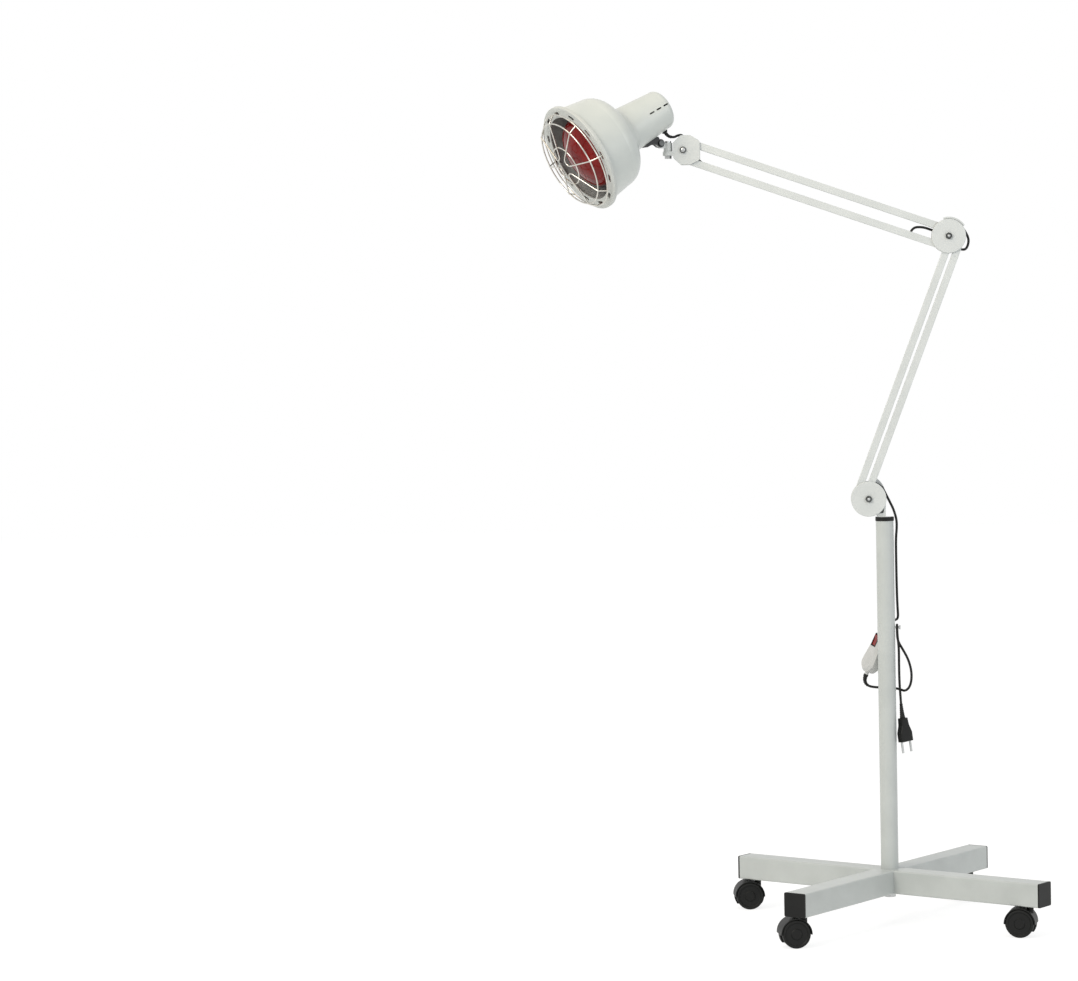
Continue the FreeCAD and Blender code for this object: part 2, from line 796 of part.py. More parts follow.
def make_hub():
    """The bolt that pulls the column down onto the cross, and the plug it threads into."""
    head_at = vector(0, 0, leg_clearance - hub_washer_t - hub_head_h)
    washer_at = vector(0, 0, leg_clearance - hub_washer_t)
    plug_at = vector(0, 0, leg_top_z)
    head = hexagon("hub_head", hub_head_r, hub_head_h, head_at, Z_AXIS)
    washer = rod("hub_washer", hub_washer_d / 2, hub_washer_t, washer_at, Z_AXIS)
    shank_length = hub_washer_t + tube_side + hub_plug_h
    shank = rod("hub_shank", hub_bolt_d / 2, shank_length, washer_at, Z_AXIS)
    keep(fuse("hub_bolt_set", [head, washer, shank]), "hub_bolt")
    bore = column_d / 2 - column_wall
    plug = ring("hub_plug", bore, hub_bolt_d / 2, hub_plug_h, plug_at, Z_AXIS)
    keep(plug, "column_plug")


make_cross()
caps = [make_end_cap(i, leg_azimuth.value + QUARTER * i) for i in range(LEG_COUNT)]
keep(group("cap_set", caps), "end_caps")
make_hub()


# ---------------------------------------------------------------- casters


def caster_housing(name):
    """Web and hood of a twin-wheel caster: stem at the origin, axle at X = trail."""
    body = new_body(name)
    wheel_r = wheel_d / 2
    bay_r = wheel_r + hood_gap
    hood_r = bay_r + hood_wall
    past = hood_r + CUT_PAST
    half_web = web_t / 2
    half_width = half_web + wheel_gap + wheel_w
    drum = sketch_on(body, "XZ_Plane")
    draw_circle(drum, trail, wheel_r, hood_r)
    pad(body, drum, half_width * 2, both_ways=True)
    for side in (-1.0, 1.0):
        bay = sketch_on(body, "XZ_Plane", side * half_web)
        draw_circle(bay, trail, wheel_r, bay_r)
        pocket(body, bay, half_width - half_web + CUT_PAST, backward=side > 0)
        below = sketch_on(body, "XZ_Plane", side * half_web)
        low, high = 0 - hood_r, wheel_r - hood_drop
        draw_box(below, trail - past, trail + past, low, high)
        pocket(body, below, half_width - half_web + CUT_PAST, backward=side > 0)
    heel = sketch_on(body, "XZ_Plane")
    draw_box(heel, trail - past, trail + past, 0 - hood_r, web_bottom)
    pocket(body, heel, web_t * 2, both_ways=True)
    neck = sketch_on(body, "XY_Plane", wheel_r + neck_low)
    draw_circle(neck, 0, 0, neck_d / 2)
    pad(body, neck, leg_clearance - touch - wheel_r - neck_low)
    bore_through(body, trail, wheel_r, axle_d / 2 + running, web_t)
    socket = sketch_on(body, "XY_Plane", leg_clearance)
    draw_circle(socket, 0, 0, stem_d / 2 + running)
    pocket(body, socket, stem_depth)
    return body


def caster_wheels(name):
    """Two wheels pressed on one axle, turned about that axle."""
    body = new_body(name)
    inner = web_t / 2 + wheel_gap
    outer = inner + wheel_w
    wheel_r = wheel_d / 2
    edge = wheel_round
    side_r = wheel_r - edge
    dish_r = wheel_r - wheel_band
    floor = outer - wheel_dish
    axle_r = axle_d / 2
    profile = sketch_on(body, "XY_Plane")
    draw_outline(
        profile,
        [
            (0, 0 - outer),
            (wheel_hub_r, 0 - outer),
            (wheel_hub_r + wheel_dish, 0 - floor),
            (dish_r - wheel_dish, 0 - floor),
            (dish_r, 0 - outer),
            (side_r, 0 - outer, edge),
            (wheel_r, edge - outer),
            (wheel_r, 0 - inner - edge, edge),
            (side_r, 0 - inner),
            (axle_r, 0 - inner),
            (axle_r, inner),
            (side_r, inner, edge),
            (wheel_r, inner + edge),
            (wheel_r, outer - edge, edge),
            (side_r, outer),
            (dish_r, outer),
            (dish_r - wheel_dish, floor),
            (wheel_hub_r + wheel_dish, floor),
            (wheel_hub_r, outer),
            (0, outer),
        ],
    )
    spin(body, "Revolution", profile, "V_Axis")
    return body


def make_stem(letter, foot):
    """A steel stem: pin in the housing, nut on top of the leg's lower wall."""
    low = leg_clearance - stem_depth + touch
    length = stem_depth - touch + tube_wall + stem_nut_h
    pin = rod(f"stem_pin_{letter}", stem_d / 2, length, foot + vector(0, 0, low), Z_AXIS)
    nut_at = foot + vector(0, 0, leg_clearance + tube_wall)
    nut = hexagon(f"stem_nut_{letter}", stem_nut, stem_nut_h, nut_at, Z_AXIS)
    return fuse(f"stem_{letter}", [pin, nut])


def make_casters():
    stems = []
    headings = (caster_a, caster_b, caster_c, caster_d)
    reach = leg_reach - stem_inset
    for index, heading in enumerate(headings):
        letter = "abcd"[index]
        leg = FreeCAD.Rotation(Z_AXIS, leg_azimuth.value + QUARTER * index)
        foot = leg.multVec(vector(reach, 0, 0))
        turn = FreeCAD.Rotation(Z_AXIS, heading.value)
        housing = place(caster_housing(f"housing_{letter}"), foot, turn)
        keep(housing, f"caster_{letter}_housing")
        axle_at = foot + turn.multVec(vector(trail, 0, wheel_d / 2))
        wheels = place(caster_wheels(f"wheels_{letter}"), axle_at, turn)
        keep(wheels, f"caster_{letter}_wheels")
        stems.append(make_stem(letter, foot))
    keep(group("stem_set", stems), "caster_stems")


make_casters()


# ---------------------------------------------------------------- column, collar and swivel


def make_column():
    """The round column, drilled for the peg that the cord hangs on."""
    outer = column_d / 2
    bore = column_d / 2 - column_wall
    foot = vector(0, 0, leg_top_z)
    tube = ring("column_blank", outer, bore, column_length, foot, Z_AXIS)
    hole = rod("peg_hole", peg_d / 2, column_d, vector(0, 0, peg_height), X_AXIS)
    keep(cut("column_drilled", tube, hole), "column_tube")


def make_collar():
    """A black bushing: a sleeve in the column and a rim that hides the spigot's flange."""
    body = new_body("collar")
    bore = spigot_d / 2 + running
    sleeve = column_d / 2 - column_wall
    rim = column_d / 2 + collar_lip
    well = flange_d / 2 + side_gap
    floor = collar_h - flange_t - touch
    top = collar_h - touch
    profile = sketch_on(body, "XZ_Plane")
    draw_outline(
        profile,
        [
            (bore, 0 - collar_sleeve),
            (sleeve, 0 - collar_sleeve),
            (sleeve, 0),
            (rim, 0),
            (rim, top - collar_lip, collar_lip),
            (rim - collar_lip, top),
            (well, top),
            (well, floor),
            (bore, floor),
        ],
    )
    spin(body, "Revolution", profile, "V_Axis")
    keep(place(body, vector(0, 0, collar_bottom_z)), "column_collar")


def make_spigot():
    """The steel spigot that turns in the collar, its top level with the bracket's foot."""
    body = new_body("spigot")
    profile = sketch_on(body, "XZ_Plane")
    radius = spigot_d / 2
    draw_outline(
        profile,
        [
            (0, 0 - spigot_length),
            (radius - spigot_chamfer, 0 - spigot_length),
            (radius, spigot_chamfer - spigot_length),
            (radius, 0 - flange_t),
            (flange_d / 2, 0 - flange_t),
            (flange_d / 2, 0),
            (0, 0),
        ],
    )
    spin(body, "Revolution", profile, "V_Axis")
    keep(place(body, vector(0, 0, collar_top_z)), "swivel_spigot")


make_column()
make_collar()
make_spigot()


# ---------------------------------------------------------------- joint plates, pins and bolts


def seat_pins(body, places, near):
    """Blind holes for pivot pins in a plate's inner face."""
    sketch = sketch_on(body, "XZ_Plane", inner_face if near else 0 - inner_face)
    for x, z in places:
        draw_circle(sketch, x, z, pin_r)
    return pocket(body, sketch, pin_seat, backward=near)


def round_plate(name, radius, near, pins):
    """A round joint plate whose outer rim is rounded; near plates face -Y."""
    body = new_body(name)
    profile = sketch_on(body, "XY_Plane")
    edge = plate_round
    low = 0 - outer_face if near else inner_face
    high = 0 - inner_face if near else outer_face
    near_rim = [(radius - edge, low, edge), (radius, low + edge), (radius, high)]
    far_rim = [(radius, low), (radius, high - edge, edge), (radius - edge, high)]
    rim = near_rim if near else far_rim
    draw_outline(profile, [(bolt_r, low), *rim, (bolt_r, high)])
    spin(body, "Revolution", profile, "V_Axis")
    seat_pins(body, pins, near)
    return body


def make_pins(label, places, at):
    """Pivot pins between two plates, each end seated in its blind hole."""
    reach = inner_face + pin_seat
    rods = []
    for index, (x, z) in enumerate(places):
        foot = at + vector(x, 0 - reach, z)
        rods.append(rod(f"{label}_{index}", pin_r, reach * 2, foot, Y_AXIS))
    keep(group(f"{label}_set", rods), label)


def make_bolt(label, at, toward, half, shank_r, head_r, spacer=None):
    """A bolt through half on either side of its centre: head behind, nut ahead."""
    behind = at - toward * half.value
    ahead = at + toward * half.value
    shank = rod(f"{label}_shank", shank_r, half * 2 + nut_h, behind, toward)
    head = rod(f"{label}_head", head_r, bolt_head_h, behind, toward * -1)
    bolt = fuse(f"{label}_body", [shank, head])
    nut_solid = hexagon(f"{label}_nut_blank", nut_across, nut_h, ahead, toward)
    nut_hole = rod(f"{label}_nut_bore", shank_r, nut_h, ahead, toward)
    parts = [bolt, cut(f"{label}_nut", nut_solid, nut_hole)]
    if spacer:
        start = at - toward * spacer.value
        parts.append(
            ring(f"{label}_spacer", spacer_d / 2, shank_r, spacer * 2, start, toward)
        )
    keep(group(f"{label}_set", parts), label)


base_pivots = [(0 - outer_x, outer_z), (inner_x, inner_z)]
elbow_pivots = [
    (0 - inner_x, 0 - inner_z),
    (outer_x, 0 - outer_z),
    (0 - back_pivot_x, back_pivot_lift + half_spread),
    (0 - back_pivot_x, back_pivot_lift - half_spread),
]
front_pivots = [
    (front_pivot_x, half_spread - front_pivot_drop),
    (front_pivot_x, 0 - half_spread - front_pivot_drop),
]


def make_base_joint():
    """Far plate with its web and foot, near disc, pins and centre bolt."""
    body = new_body("bracket")
    bottom = 0 - joint_rise

    def disc(sketch):
        draw_circle(sketch, 0, 0, disc_r)

    def flank(sketch):
        draw_outline(
            sketch,
            [
                (foot_left, bottom),
                (web_right, bottom),
                (web_right, flank_top, shoulder_bow),
                (shoulder_x, shoulder_z),
                (0, disc_r - plate_t),
            ],
        )

    def web(sketch):
        inner = web_right - web_t_joint
        draw_outline(
            sketch,
            [
                (foot_left, bottom),
                (web_right, bottom),
                (web_right, web_top),
                (inner, web_top),
                (inner, bottom + foot_t + web_round, 0 - web_round),
                (inner - web_round, bottom + foot_t),
                (foot_left, bottom + foot_t),
            ],
        )

    layer(body, disc, inner_face, outer_face)
    layer(body, flank, inner_face, outer_face)
    layer(body, web, 0 - inner_face, inner_face + plate_t / 2)
    bore_through(body, 0, 0, bolt_r, outer_face + CUT_PAST)
    seat_pins(body, base_pivots, False)
    keep(place(body, base_bolt), "base_bracket")
    disc = round_plate("base_disc_body", disc_r, True, base_pivots)
    keep(place(disc, base_bolt), "base_disc")
    make_pins("base_pivot_pins", base_pivots, base_bolt)
    make_bolt(
        "base_bolt", base_bolt, Y_AXIS, outer_face, bolt_r, bolt_head_d / 2, inner_face
    )


def make_elbow():
    """Two discs; the far one carries a curved guard round the cord."""
    near = round_plate("elbow_near", elbow_r, True, elbow_pivots)
    keep(place(near, elbow_bolt), "elbow_disc_near")
    far = round_plate("elbow_far", elbow_r, False, elbow_pivots)
    outer = guard_r + guard_t

    def flange(sketch):
        draw_sector(sketch, elbow_r - guard_t * 2, outer, guard_from, guard_to)

    def lip(sketch):
        draw_sector(sketch, guard_r, outer, guard_from, guard_to)

    layer(far, flange, inner_face, outer_face)
    layer(far, lip, side_gap - inner_face, inner_face)
    keep(place(far, elbow_bolt), "elbow_disc_far")
    make_pins("elbow_pivot_pins", elbow_pivots, elbow_bolt)
    make_bolt(
        "elbow_bolt", elbow_bolt, Y_AXIS, outer_face, bolt_r, bolt_head_d / 2, inner_face
    )


def front_outline(sketch):
    left = 0 - front_left
    draw_outline(
        sketch,
        [
            (left, 0 - front_side),
            (front_nose - front_left, 0 - front_low_edge),
            (front_pivot_x + front_shoulder, 0 - front_low_edge),
            (front_right, 0 - front_low_right),
            (front_right, front_high - front_step),
            (front_pivot_x + front_shoulder, front_high),
            (front_nose - front_left, front_high),
            (left, front_side),
        ],
    )


def make_front_joint():
    """Two cut plates; the far one carries the lug that the lamp's head turns on."""
    near = new_body("front_near")
    plate = layer(near, front_outline, 0 - outer_face, 0 - inner_face)
    round_edges(near, plate, front_round, lambda e: runs_along(e, Y_AXIS))
    bore_through(near, 0, 0, bolt_r, outer_face + CUT_PAST)
    seat_pins(near, front_pivots, True)
    keep(place(near, front_bolt), "front_plate_near")

    far = new_body("front_far")
    plate = layer(far, front_outline, inner_face, outer_face)
    round_edges(far, plate, front_round, lambda e: runs_along(e, Y_AXIS))
    lug = sketch_on(far, "XY_Plane", 0 - lug_top - lug_t)
    left = 0 - front_left
    tongue = lug_tongue - front_left
    draw_outline(
        lug,
        [
            (0 - pan_reach, 0 - lug_r),
            (left, 0 - lug_r),
            (left, 0 - inner_face),
            (tongue, 0 - inner_face),
            (tongue, lug_r),
            (0 - pan_reach, lug_r, lug_r),
            (0 - pan_reach - lug_r, 0, lug_r),
        ],
    )
    pad(far, lug, lug_t)
    stud_bore = sketch_on(far, "XY_Plane")
    draw_circle(stud_bore, 0 - pan_reach, 0, stud_d / 2)
    pocket(far, stud_bore, lug_top + lug_t + CUT_PAST)
    bore_through(far, 0, 0, bolt_r, outer_face + CUT_PAST)
    seat_pins(far, front_pivots, False)
    keep(place(far, front_bolt), "front_plate_far")
    make_pins("front_pivot_pins", front_pivots, front_bolt)
    make_bolt(
        "front_bolt", front_bolt, Y_AXIS, outer_face, bolt_r, bolt_head_d / 2, inner_face
    )


make_base_joint()
make_elbow()
make_front_joint()


# ---------------------------------------------------------------- arm bars


def make_eye(name, free):
    """An end plug: a round eye on the pivot, a neck and a tongue inside the tube."""
    body = new_body(name)
    half = bar_side / 2
    hollow = half - bar_wall - running

    def eye(sketch):
        draw_outline(
            sketch,
            [
                (0, 0 - half),
                (bar_neck, 0 - half),
                (bar_neck, half),
                (0, half, half),
                (0 - half, 0, half),
            ],
        )

    layer(body, eye, 0 - half, half)
    tongue = sketch_on(body, "YZ_Plane", bar_neck)
    draw_box(tongue, 0 - hollow, hollow, 0 - hollow, hollow)
    pad(body, tongue, bar_plug)
    bore_through(body, 0, 0, pin_r + (open_gap if free else running), half + CUT_PAST)
    return body


def make_bar(name, start, way, length, open_end=False, cord_holes=()):
    """A square tube between two end eyes; its local X runs from pivot to pivot.
    Each cord hole is a place along it and a length, and opens its lower local side."""
    turn = FreeCAD.Rotation(X_AXIS, way)
    half = bar_side / 2
    hollow = half - bar_wall
    tube = new_body(f"{name}_tube")
    outside = sketch_on(tube, "YZ_Plane", bar_neck)
    draw_round_square(outside, half, bar_round)
    pad(tube, outside, length - bar_neck * 2)
    inside = sketch_on(tube, "YZ_Plane", bar_neck - CUT_PAST)
    draw_box(inside, 0 - hollow, hollow, 0 - hollow, hollow)
    pocket(tube, inside, length - bar_neck * 2 + 2 * CUT_PAST, backward=True)
    for x, hole_length in cord_holes:
        hole = sketch_on(tube, "XY_Plane")
        draw_slot(hole, x, 0, hole_length, cord_d + touch * 2)
        pocket(tube, hole, half + CUT_PAST)
    keep(place(tube, start, turn), name)
    ends = []
    for index in range(2):
        eye = make_eye(f"{name}_eye_{index}", open_end and index == 1)
        flip = FreeCAD.Rotation(Y_AXIS, HALF_TURN * index)
        at = start + way * (length.value * index)
        ends.append(place(eye, at, turn.multiply(flip)))
    keep(group(f"{name}_eyes", ends), f"{name}_ends")


make_bar("lower_bar_left", base_bolt + base_outer, lower_way, lower_length, open_end=True)
make_bar(
    "lower_bar_right",
    base_bolt + base_inner,
    lower_way,
    lower_length,
    cord_holes=(
        (cord_exit_base, cord_hole_l),
        (lower_length - cord_exit_lower, cord_hole_l),
    ),
)
make_bar("upper_bar_top", elbow_bolt + elbow_top, upper_way, upper_length, open_end=True)
make_bar(
    "upper_bar_bottom",
    elbow_bolt + elbow_low,
    upper_way,
    upper_length,
    cord_holes=(
        (cord_exit_upper, cord_hole_l),
        (upper_length - cord_slot_at, cord_slot_l),
    ),
)


# ---------------------------------------------------------------- swivel knuckle and tilt screw


def make_knuckle():
    """A barrel on the pan stud with a flat ear for the tilt screw."""
    body = new_body("knuckle_body")
    low = touch - lug_top
    high = low + barrel_h
    barrel = sketch_on(body, "XY_Plane", low)
    draw_circle(barrel, 0, 0, barrel_d / 2)
    pad(body, barrel, barrel_h)
    half = knuckle_t / 2
    ear_x = 0 - tilt_reach

    def ear(sketch):
        draw_circle(sketch, ear_x, tilt_rise, knuckle_r)

    def neck(sketch):
        draw_box(sketch, ear_x, 0, high - knuckle_neck_h, high)

    layer(body, ear, 0 - half, half)
    layer(body, neck, 0 - half, half)
    bore = sketch_on(body, "XY_Plane", high + CUT_PAST)
    draw_circle(bore, 0, 0, stud_d / 2 + running)
    pocket(body, bore, barrel_h + 2 * CUT_PAST)
    bore_through(body, ear_x, tilt_rise, tilt_screw_d / 2 + running, half + CUT_PAST)
    keep(place(body, pan_place, pan_turn), "knuckle")

    cap_at_z = high + touch
    stud_low = 0 - lug_top - lug_t - nut_h
    stud_at = pan_place + vector(0, 0, stud_low)
    cap_place = pan_place + vector(0, 0, cap_at_z)
    stud = rod("stud_shank", stud_d / 2, cap_at_z - stud_low, stud_at, Z_AXIS)
    cap = rod("stud_cap", bolt_head_d / 2, bolt_head_h, cap_place, Z_AXIS)
    nut = hexagon("stud_nut", nut_across, nut_h, stud_at, Z_AXIS)
    keep(fuse("stud_set", [stud, cap, nut]), "pan_stud")


def make_tilt_screw():
    half = knuckle_t / 2 + ear_gap + ear_t
    toward = pan_turn.multVec(Y_AXIS)
    radius = tilt_screw_d / 2
    make_bolt("tilt_screw", tilt_place, toward, half, radius, tilt_head_r)


make_knuckle()
make_tilt_screw()


# ---------------------------------------------------------------- head


def neck_radius(x):
    """The shade's outer radius along its neck."""
    taper = (neck_start_r - neck_end_r) / (neck_end - neck_start)
    return neck_start_r - (x - neck_start) * taper


def make_head_bracket():
    """Two ears on the tilt screw and a saddle that follows the neck."""
    body = new_body("bracket_body")
    inner = knuckle_t / 2 + ear_gap
    outer = inner + ear_t
    low = 0 - tilt_below
    saddle_low = low + saddle_rise
    saddle_mid = tilt_along - saddle_ahead
    saddle_end = saddle_mid + saddle_l / 2

    def ear(sketch):
        draw_circle(sketch, tilt_along, low, ear_r)

    def cheek(sketch):
        high = saddle_low + CUT_PAST
        draw_outline(
            sketch,
            [
                (tilt_along - ear_r, low),
                (tilt_along + ear_r, low),
                (saddle_end, high),
                (saddle_end - ear_r * 2, high),
            ],
        )

    saddle = sketch_on(body, "XZ_Plane")
    saddle_high = saddle_low + saddle_h
    draw_box(saddle, saddle_end - saddle_l, saddle_end, saddle_low, saddle_high)
    pad(body, saddle, saddle_w, both_ways=True)
    for near, far in ((0 - outer, 0 - inner), (inner, outer)):
        layer(body, cheek, near, far)
        layer(body, ear, near, far)
    seat = sketch_on(body, "XZ_Plane")
    start = saddle_mid - saddle_l
    end = saddle_mid + saddle_l
    start_r = neck_radius(start) + touch
    end_r = neck_radius(end) + touch
    draw_outline(seat, [(start, 0), (end, 0), (end, end_r), (start, start_r)])
    spin(body, "Groove", seat, "H_Axis")
    bore_through(body, tilt_along, low, tilt_screw_d / 2, outer + CUT_PAST)
    keep(place(body, rim_place, head_turn), "head_bracket")


def make_shade():
    """A spun metal shade: drum, shoulder, throat and long neck with a domed end."""
    body = new_body("shade_body")
    wall = shade_wall
    step = wall * FACE_SLANT
    end_x = head_length - wall
    profile = sketch_on(body, "XY_Plane")
    draw_outline(
        profile,
        [
            (head_length, 0),
            (head_length, dome_r, dome_round),
            (neck_end, neck_end_r),
            (neck_start, neck_start_r, 0 - throat_round),
            (throat_at, throat_r),
            (shoulder_at, shoulder_r, shoulder_round),
            (drum_end, drum_r),
            (0, mouth_r),
            (0, mouth_r - wall),
            (drum_end, drum_r - wall, wall - shoulder_round),
            (shoulder_at - step, shoulder_r - step),
            (throat_at - step, throat_r - step, throat_round + wall),
            (neck_start, neck_start_r - wall),
            (neck_end, neck_end_r - wall, wall - dome_round),
            (end_x, dome_r),
            (end_x, 0),
        ],
    )
    spin(body, "Revolution", profile, "H_Axis")
    for side in (-1.0, 1.0):
        vents = sketch_on(body, "XZ_Plane", lean=side * vent_turn)
        for index in range(VENT_COUNT):
            draw_slot(vents, vent_first + vent_pitch * index, 0, vent_l, vent_w)
        pocket(body, vents, neck_start_r + CUT_PAST, backward=side < 0)
    gland = sketch_on(body, "XY_Plane")
    draw_circle(gland, grommet_at, 0, grommet_waist + touch)
    pocket(body, gland, neck_start_r + CUT_PAST)
    keep(place(body, rim_place, head_turn), "shade")


def make_grommet():
    """A black grommet through the underside of the neck, where the cord leaves it."""
    body = new_body("grommet_body")
    surface = neck_radius(grommet_at)
    seat = 0 - surface - grommet_seat
    inner = shade_wall + grommet_seat - surface
    bore = cord_d / 2 + touch
    profile = sketch_on(body, "XZ_Plane")
    draw_outline(
        profile,
        [
            (bore, seat - grommet_h),
            (grommet_r - grommet_bevel, seat - grommet_h),
            (grommet_r, seat),
            (grommet_waist, seat),
            (grommet_waist, inner),
            (bore, inner),
        ],
    )
    spin(body, "Revolution", profile, "V_Axis")
    at = rim_place + head_turn.multVec(vector(grommet_at, 0, 0))
    keep(place(body, at, head_turn), "head_grommet")


def make_rim():
    """The slotted ring over the shade's mouth, with a lip turned back round it."""
    body = new_body("rim_body")
    profile = sketch_on(body, "XY_Plane")
    back = 0.0
    front = 0 - rim_t
    draw_outline(
        profile,
        [
            (front, opening_r),
            (back, opening_r),
            (back, rim_r - rim_t),
            (rim_lip, rim_r - rim_t),
            (rim_lip, rim_r),
            (back, rim_r, rim_t),
            (front, rim_r - rim_t),
        ],
    )
    spin(body, "Revolution", profile, "H_Axis")
    slot = sketch_on(body, "YZ_Plane", front - CUT_PAST)
    draw_slot(slot, 0, slot_mid_r, slot_l, slot_w)
    first = pocket(body, slot, rim_t + 2 * CUT_PAST, backward=True)
    polar(body, [first], "X_Axis", SLOT_COUNT)
    keep(place(body, rim_place, head_turn), "rim_ring")


def dome_bow(radius, height):
    """The radius of the sphere whose cap has that edge radius and height."""
    return (radius * radius + height * height) / (height * 2)


def round_face(angle, radius, x):
    """A place on the guard, by its angle from straight up as seen from the front."""
    turn = math.radians(angle)
    return V(x, -radius * math.sin(turn), radius * math.cos(turn))


def make_guard():
    """Welded wire guard: three rings, four hairpins and four legs in the rim's slots."""
    wire_r = (wire_d / 2).value
    foot_r = slot_mid_r + slot_w / 2 - wire_d / 2 - touch
    under = wire_d - weld
    rings = []
    along = (guard_front - guard_step).value
    out = (guard_step_r - hairpin_r).value
    mid_x = -(guard_step + (guard_step_r - guard_mid_r) * (along / out)).value
    ring_sizes = (
        ("foot", foot_r.value, -guard_foot.value),
        ("step", (guard_step_r - under / 2).value, (under / 2 - guard_step).value),
        ("middle", guard_mid_r.value, mid_x + under.value),
    )
    for label, radius, x in ring_sizes:
        made = doc.addObject("Part::Torus", f"guard_ring_{label}")
        made.Radius1 = radius
        bind(made, "Radius2", wire_d / 2)
        rings.append(place(made, V(x, 0, 0), FreeCAD.Rotation(Z_AXIS, X_AXIS)))
    hairpins = []
    for index in range(HAIRPIN_COUNT):
        out_and_back = []
        for angle in (QUARTER * (index + 0.5), QUARTER * (index + 1)):
            arm = [
                round_face(angle, foot_r.value, -guard_foot.value),
                round_face(angle, guard_step_r.value, -guard_step.value),
                round_face(angle, hairpin_r.value, -guard_front.value),
            ]
            out_and_back.append(arm)
        points = out_and_back[0] + out_and_back[1][::-1]
        bends = (wire_bend, hairpin_bend, hairpin_bend, wire_bend)
        path = bent_path(points, [b.value for b in bends])
        made = doc.addObject("Part::Feature", f"guard_hairpin_{index}")
        made.Shape = sweep(path, wire_r)
        hairpins.append(made)
    legs = []
    for index in range(HAIRPIN_COUNT):
        at = round_face(QUARTER * index, foot_r.value, -guard_foot.value)
        legs.append(rod(f"guard_leg_{index}", wire_d / 2, guard_leg, at, X_AXIS))
    welded = fuse("guard_set", [*rings, *hairpins, *legs])
    keep(place(welded, rim_place, head_turn), "wire_guard")


def make_bulb():
    """A reflector bulb: thin glass envelope, metal cap and porcelain holder."""
    glass = new_body("bulb_glass")
    wall = bulb_wall
    profile = sketch_on(glass, "XY_Plane")
    tip = 0 - bulb_front
    step = wall * FACE_SLANT
    inner_face_at = bulb_face_at + step
    inner_face_r = bulb_face_r - step
    outer_bow = dome_bow(bulb_face_r, bulb_face_at - tip)
    inner_bow = dome_bow(inner_face_r, inner_face_at - tip - wall)
    draw_outline(
        profile,
        [
            (cap_at, cap_r),
            (bulb_neck_at, bulb_neck_r),
            (bulb_cone_at, bulb_cone_r, bulb_side_bow),
            (bulb_widest, bulb_r, bulb_side_bow),
            (bulb_face_at, bulb_face_r, outer_bow),
            (tip, 0),
            (tip + wall, 0, 0 - inner_bow),
            (inner_face_at, inner_face_r, wall - bulb_side_bow),
            (bulb_widest, bulb_r - wall, wall - bulb_side_bow),
            (bulb_cone_at - step, bulb_cone_r - wall),
            (bulb_neck_at - step, bulb_neck_r - wall),
            (cap_at, cap_r - wall),
        ],
    )
    spin(glass, "Revolution", profile, "H_Axis")
    keep(place(glass, rim_place, head_turn), "bulb")

    cap = new_body("bulb_cap_body")
    profile = sketch_on(cap, "XY_Plane")
    contact = cap_end + cap_tip
    draw_outline(
        profile,
        [
            (cap_at, 0),
            (contact, 0),
            (contact, cap_tip_r),
            (cap_end, cap_r - cap_tip),
            (cap_end - cap_tip, cap_r),
            (cap_at, cap_r),
        ],
    )
    spin(cap, "Revolution", profile, "H_Axis")
    keep(place(cap, rim_place, head_turn), "bulb_cap")

    holder = new_body("holder_body")
    profile = sketch_on(holder, "XY_Plane")
    bore = cap_r + holder_gap
    stem_end = head_length - shade_wall
    draw_outline(
        profile,
        [
            (contact, 0),
            (stem_end, 0),
            (stem_end, holder_stem_r),
            (holder_end, holder_stem_r),
            (holder_end, holder_r),
            (holder_at, holder_r),
            (holder_at, bore),
            (contact, bore),
        ],
    )
    spin(holder, "Revolution", profile, "H_Axis")
    keep(place(holder, rim_place, head_turn), "lamp_holder")


make_head_bracket()
make_shade()
make_grommet()
make_rim()
make_guard()
make_bulb()


# ---------------------------------------------------------------- peg, switch and plug


def make_peg():
    """A small peg on the column that the cord hangs over."""
    inner = column_d / 2 - column_wall
    outer = column_d / 2
    shank_at = vector(inner, 0, peg_height)
    head_at = vector(outer + peg_reach, 0, peg_height)
    shank = rod("peg_shank", peg_d / 2, column_wall + peg_reach, shank_at, X_AXIS)
    head = rod("peg_head", peg_head_d / 2, peg_head_t, head_at, X_AXIS)
    keep(fuse("peg_set", [shank, head]), "cord_peg")


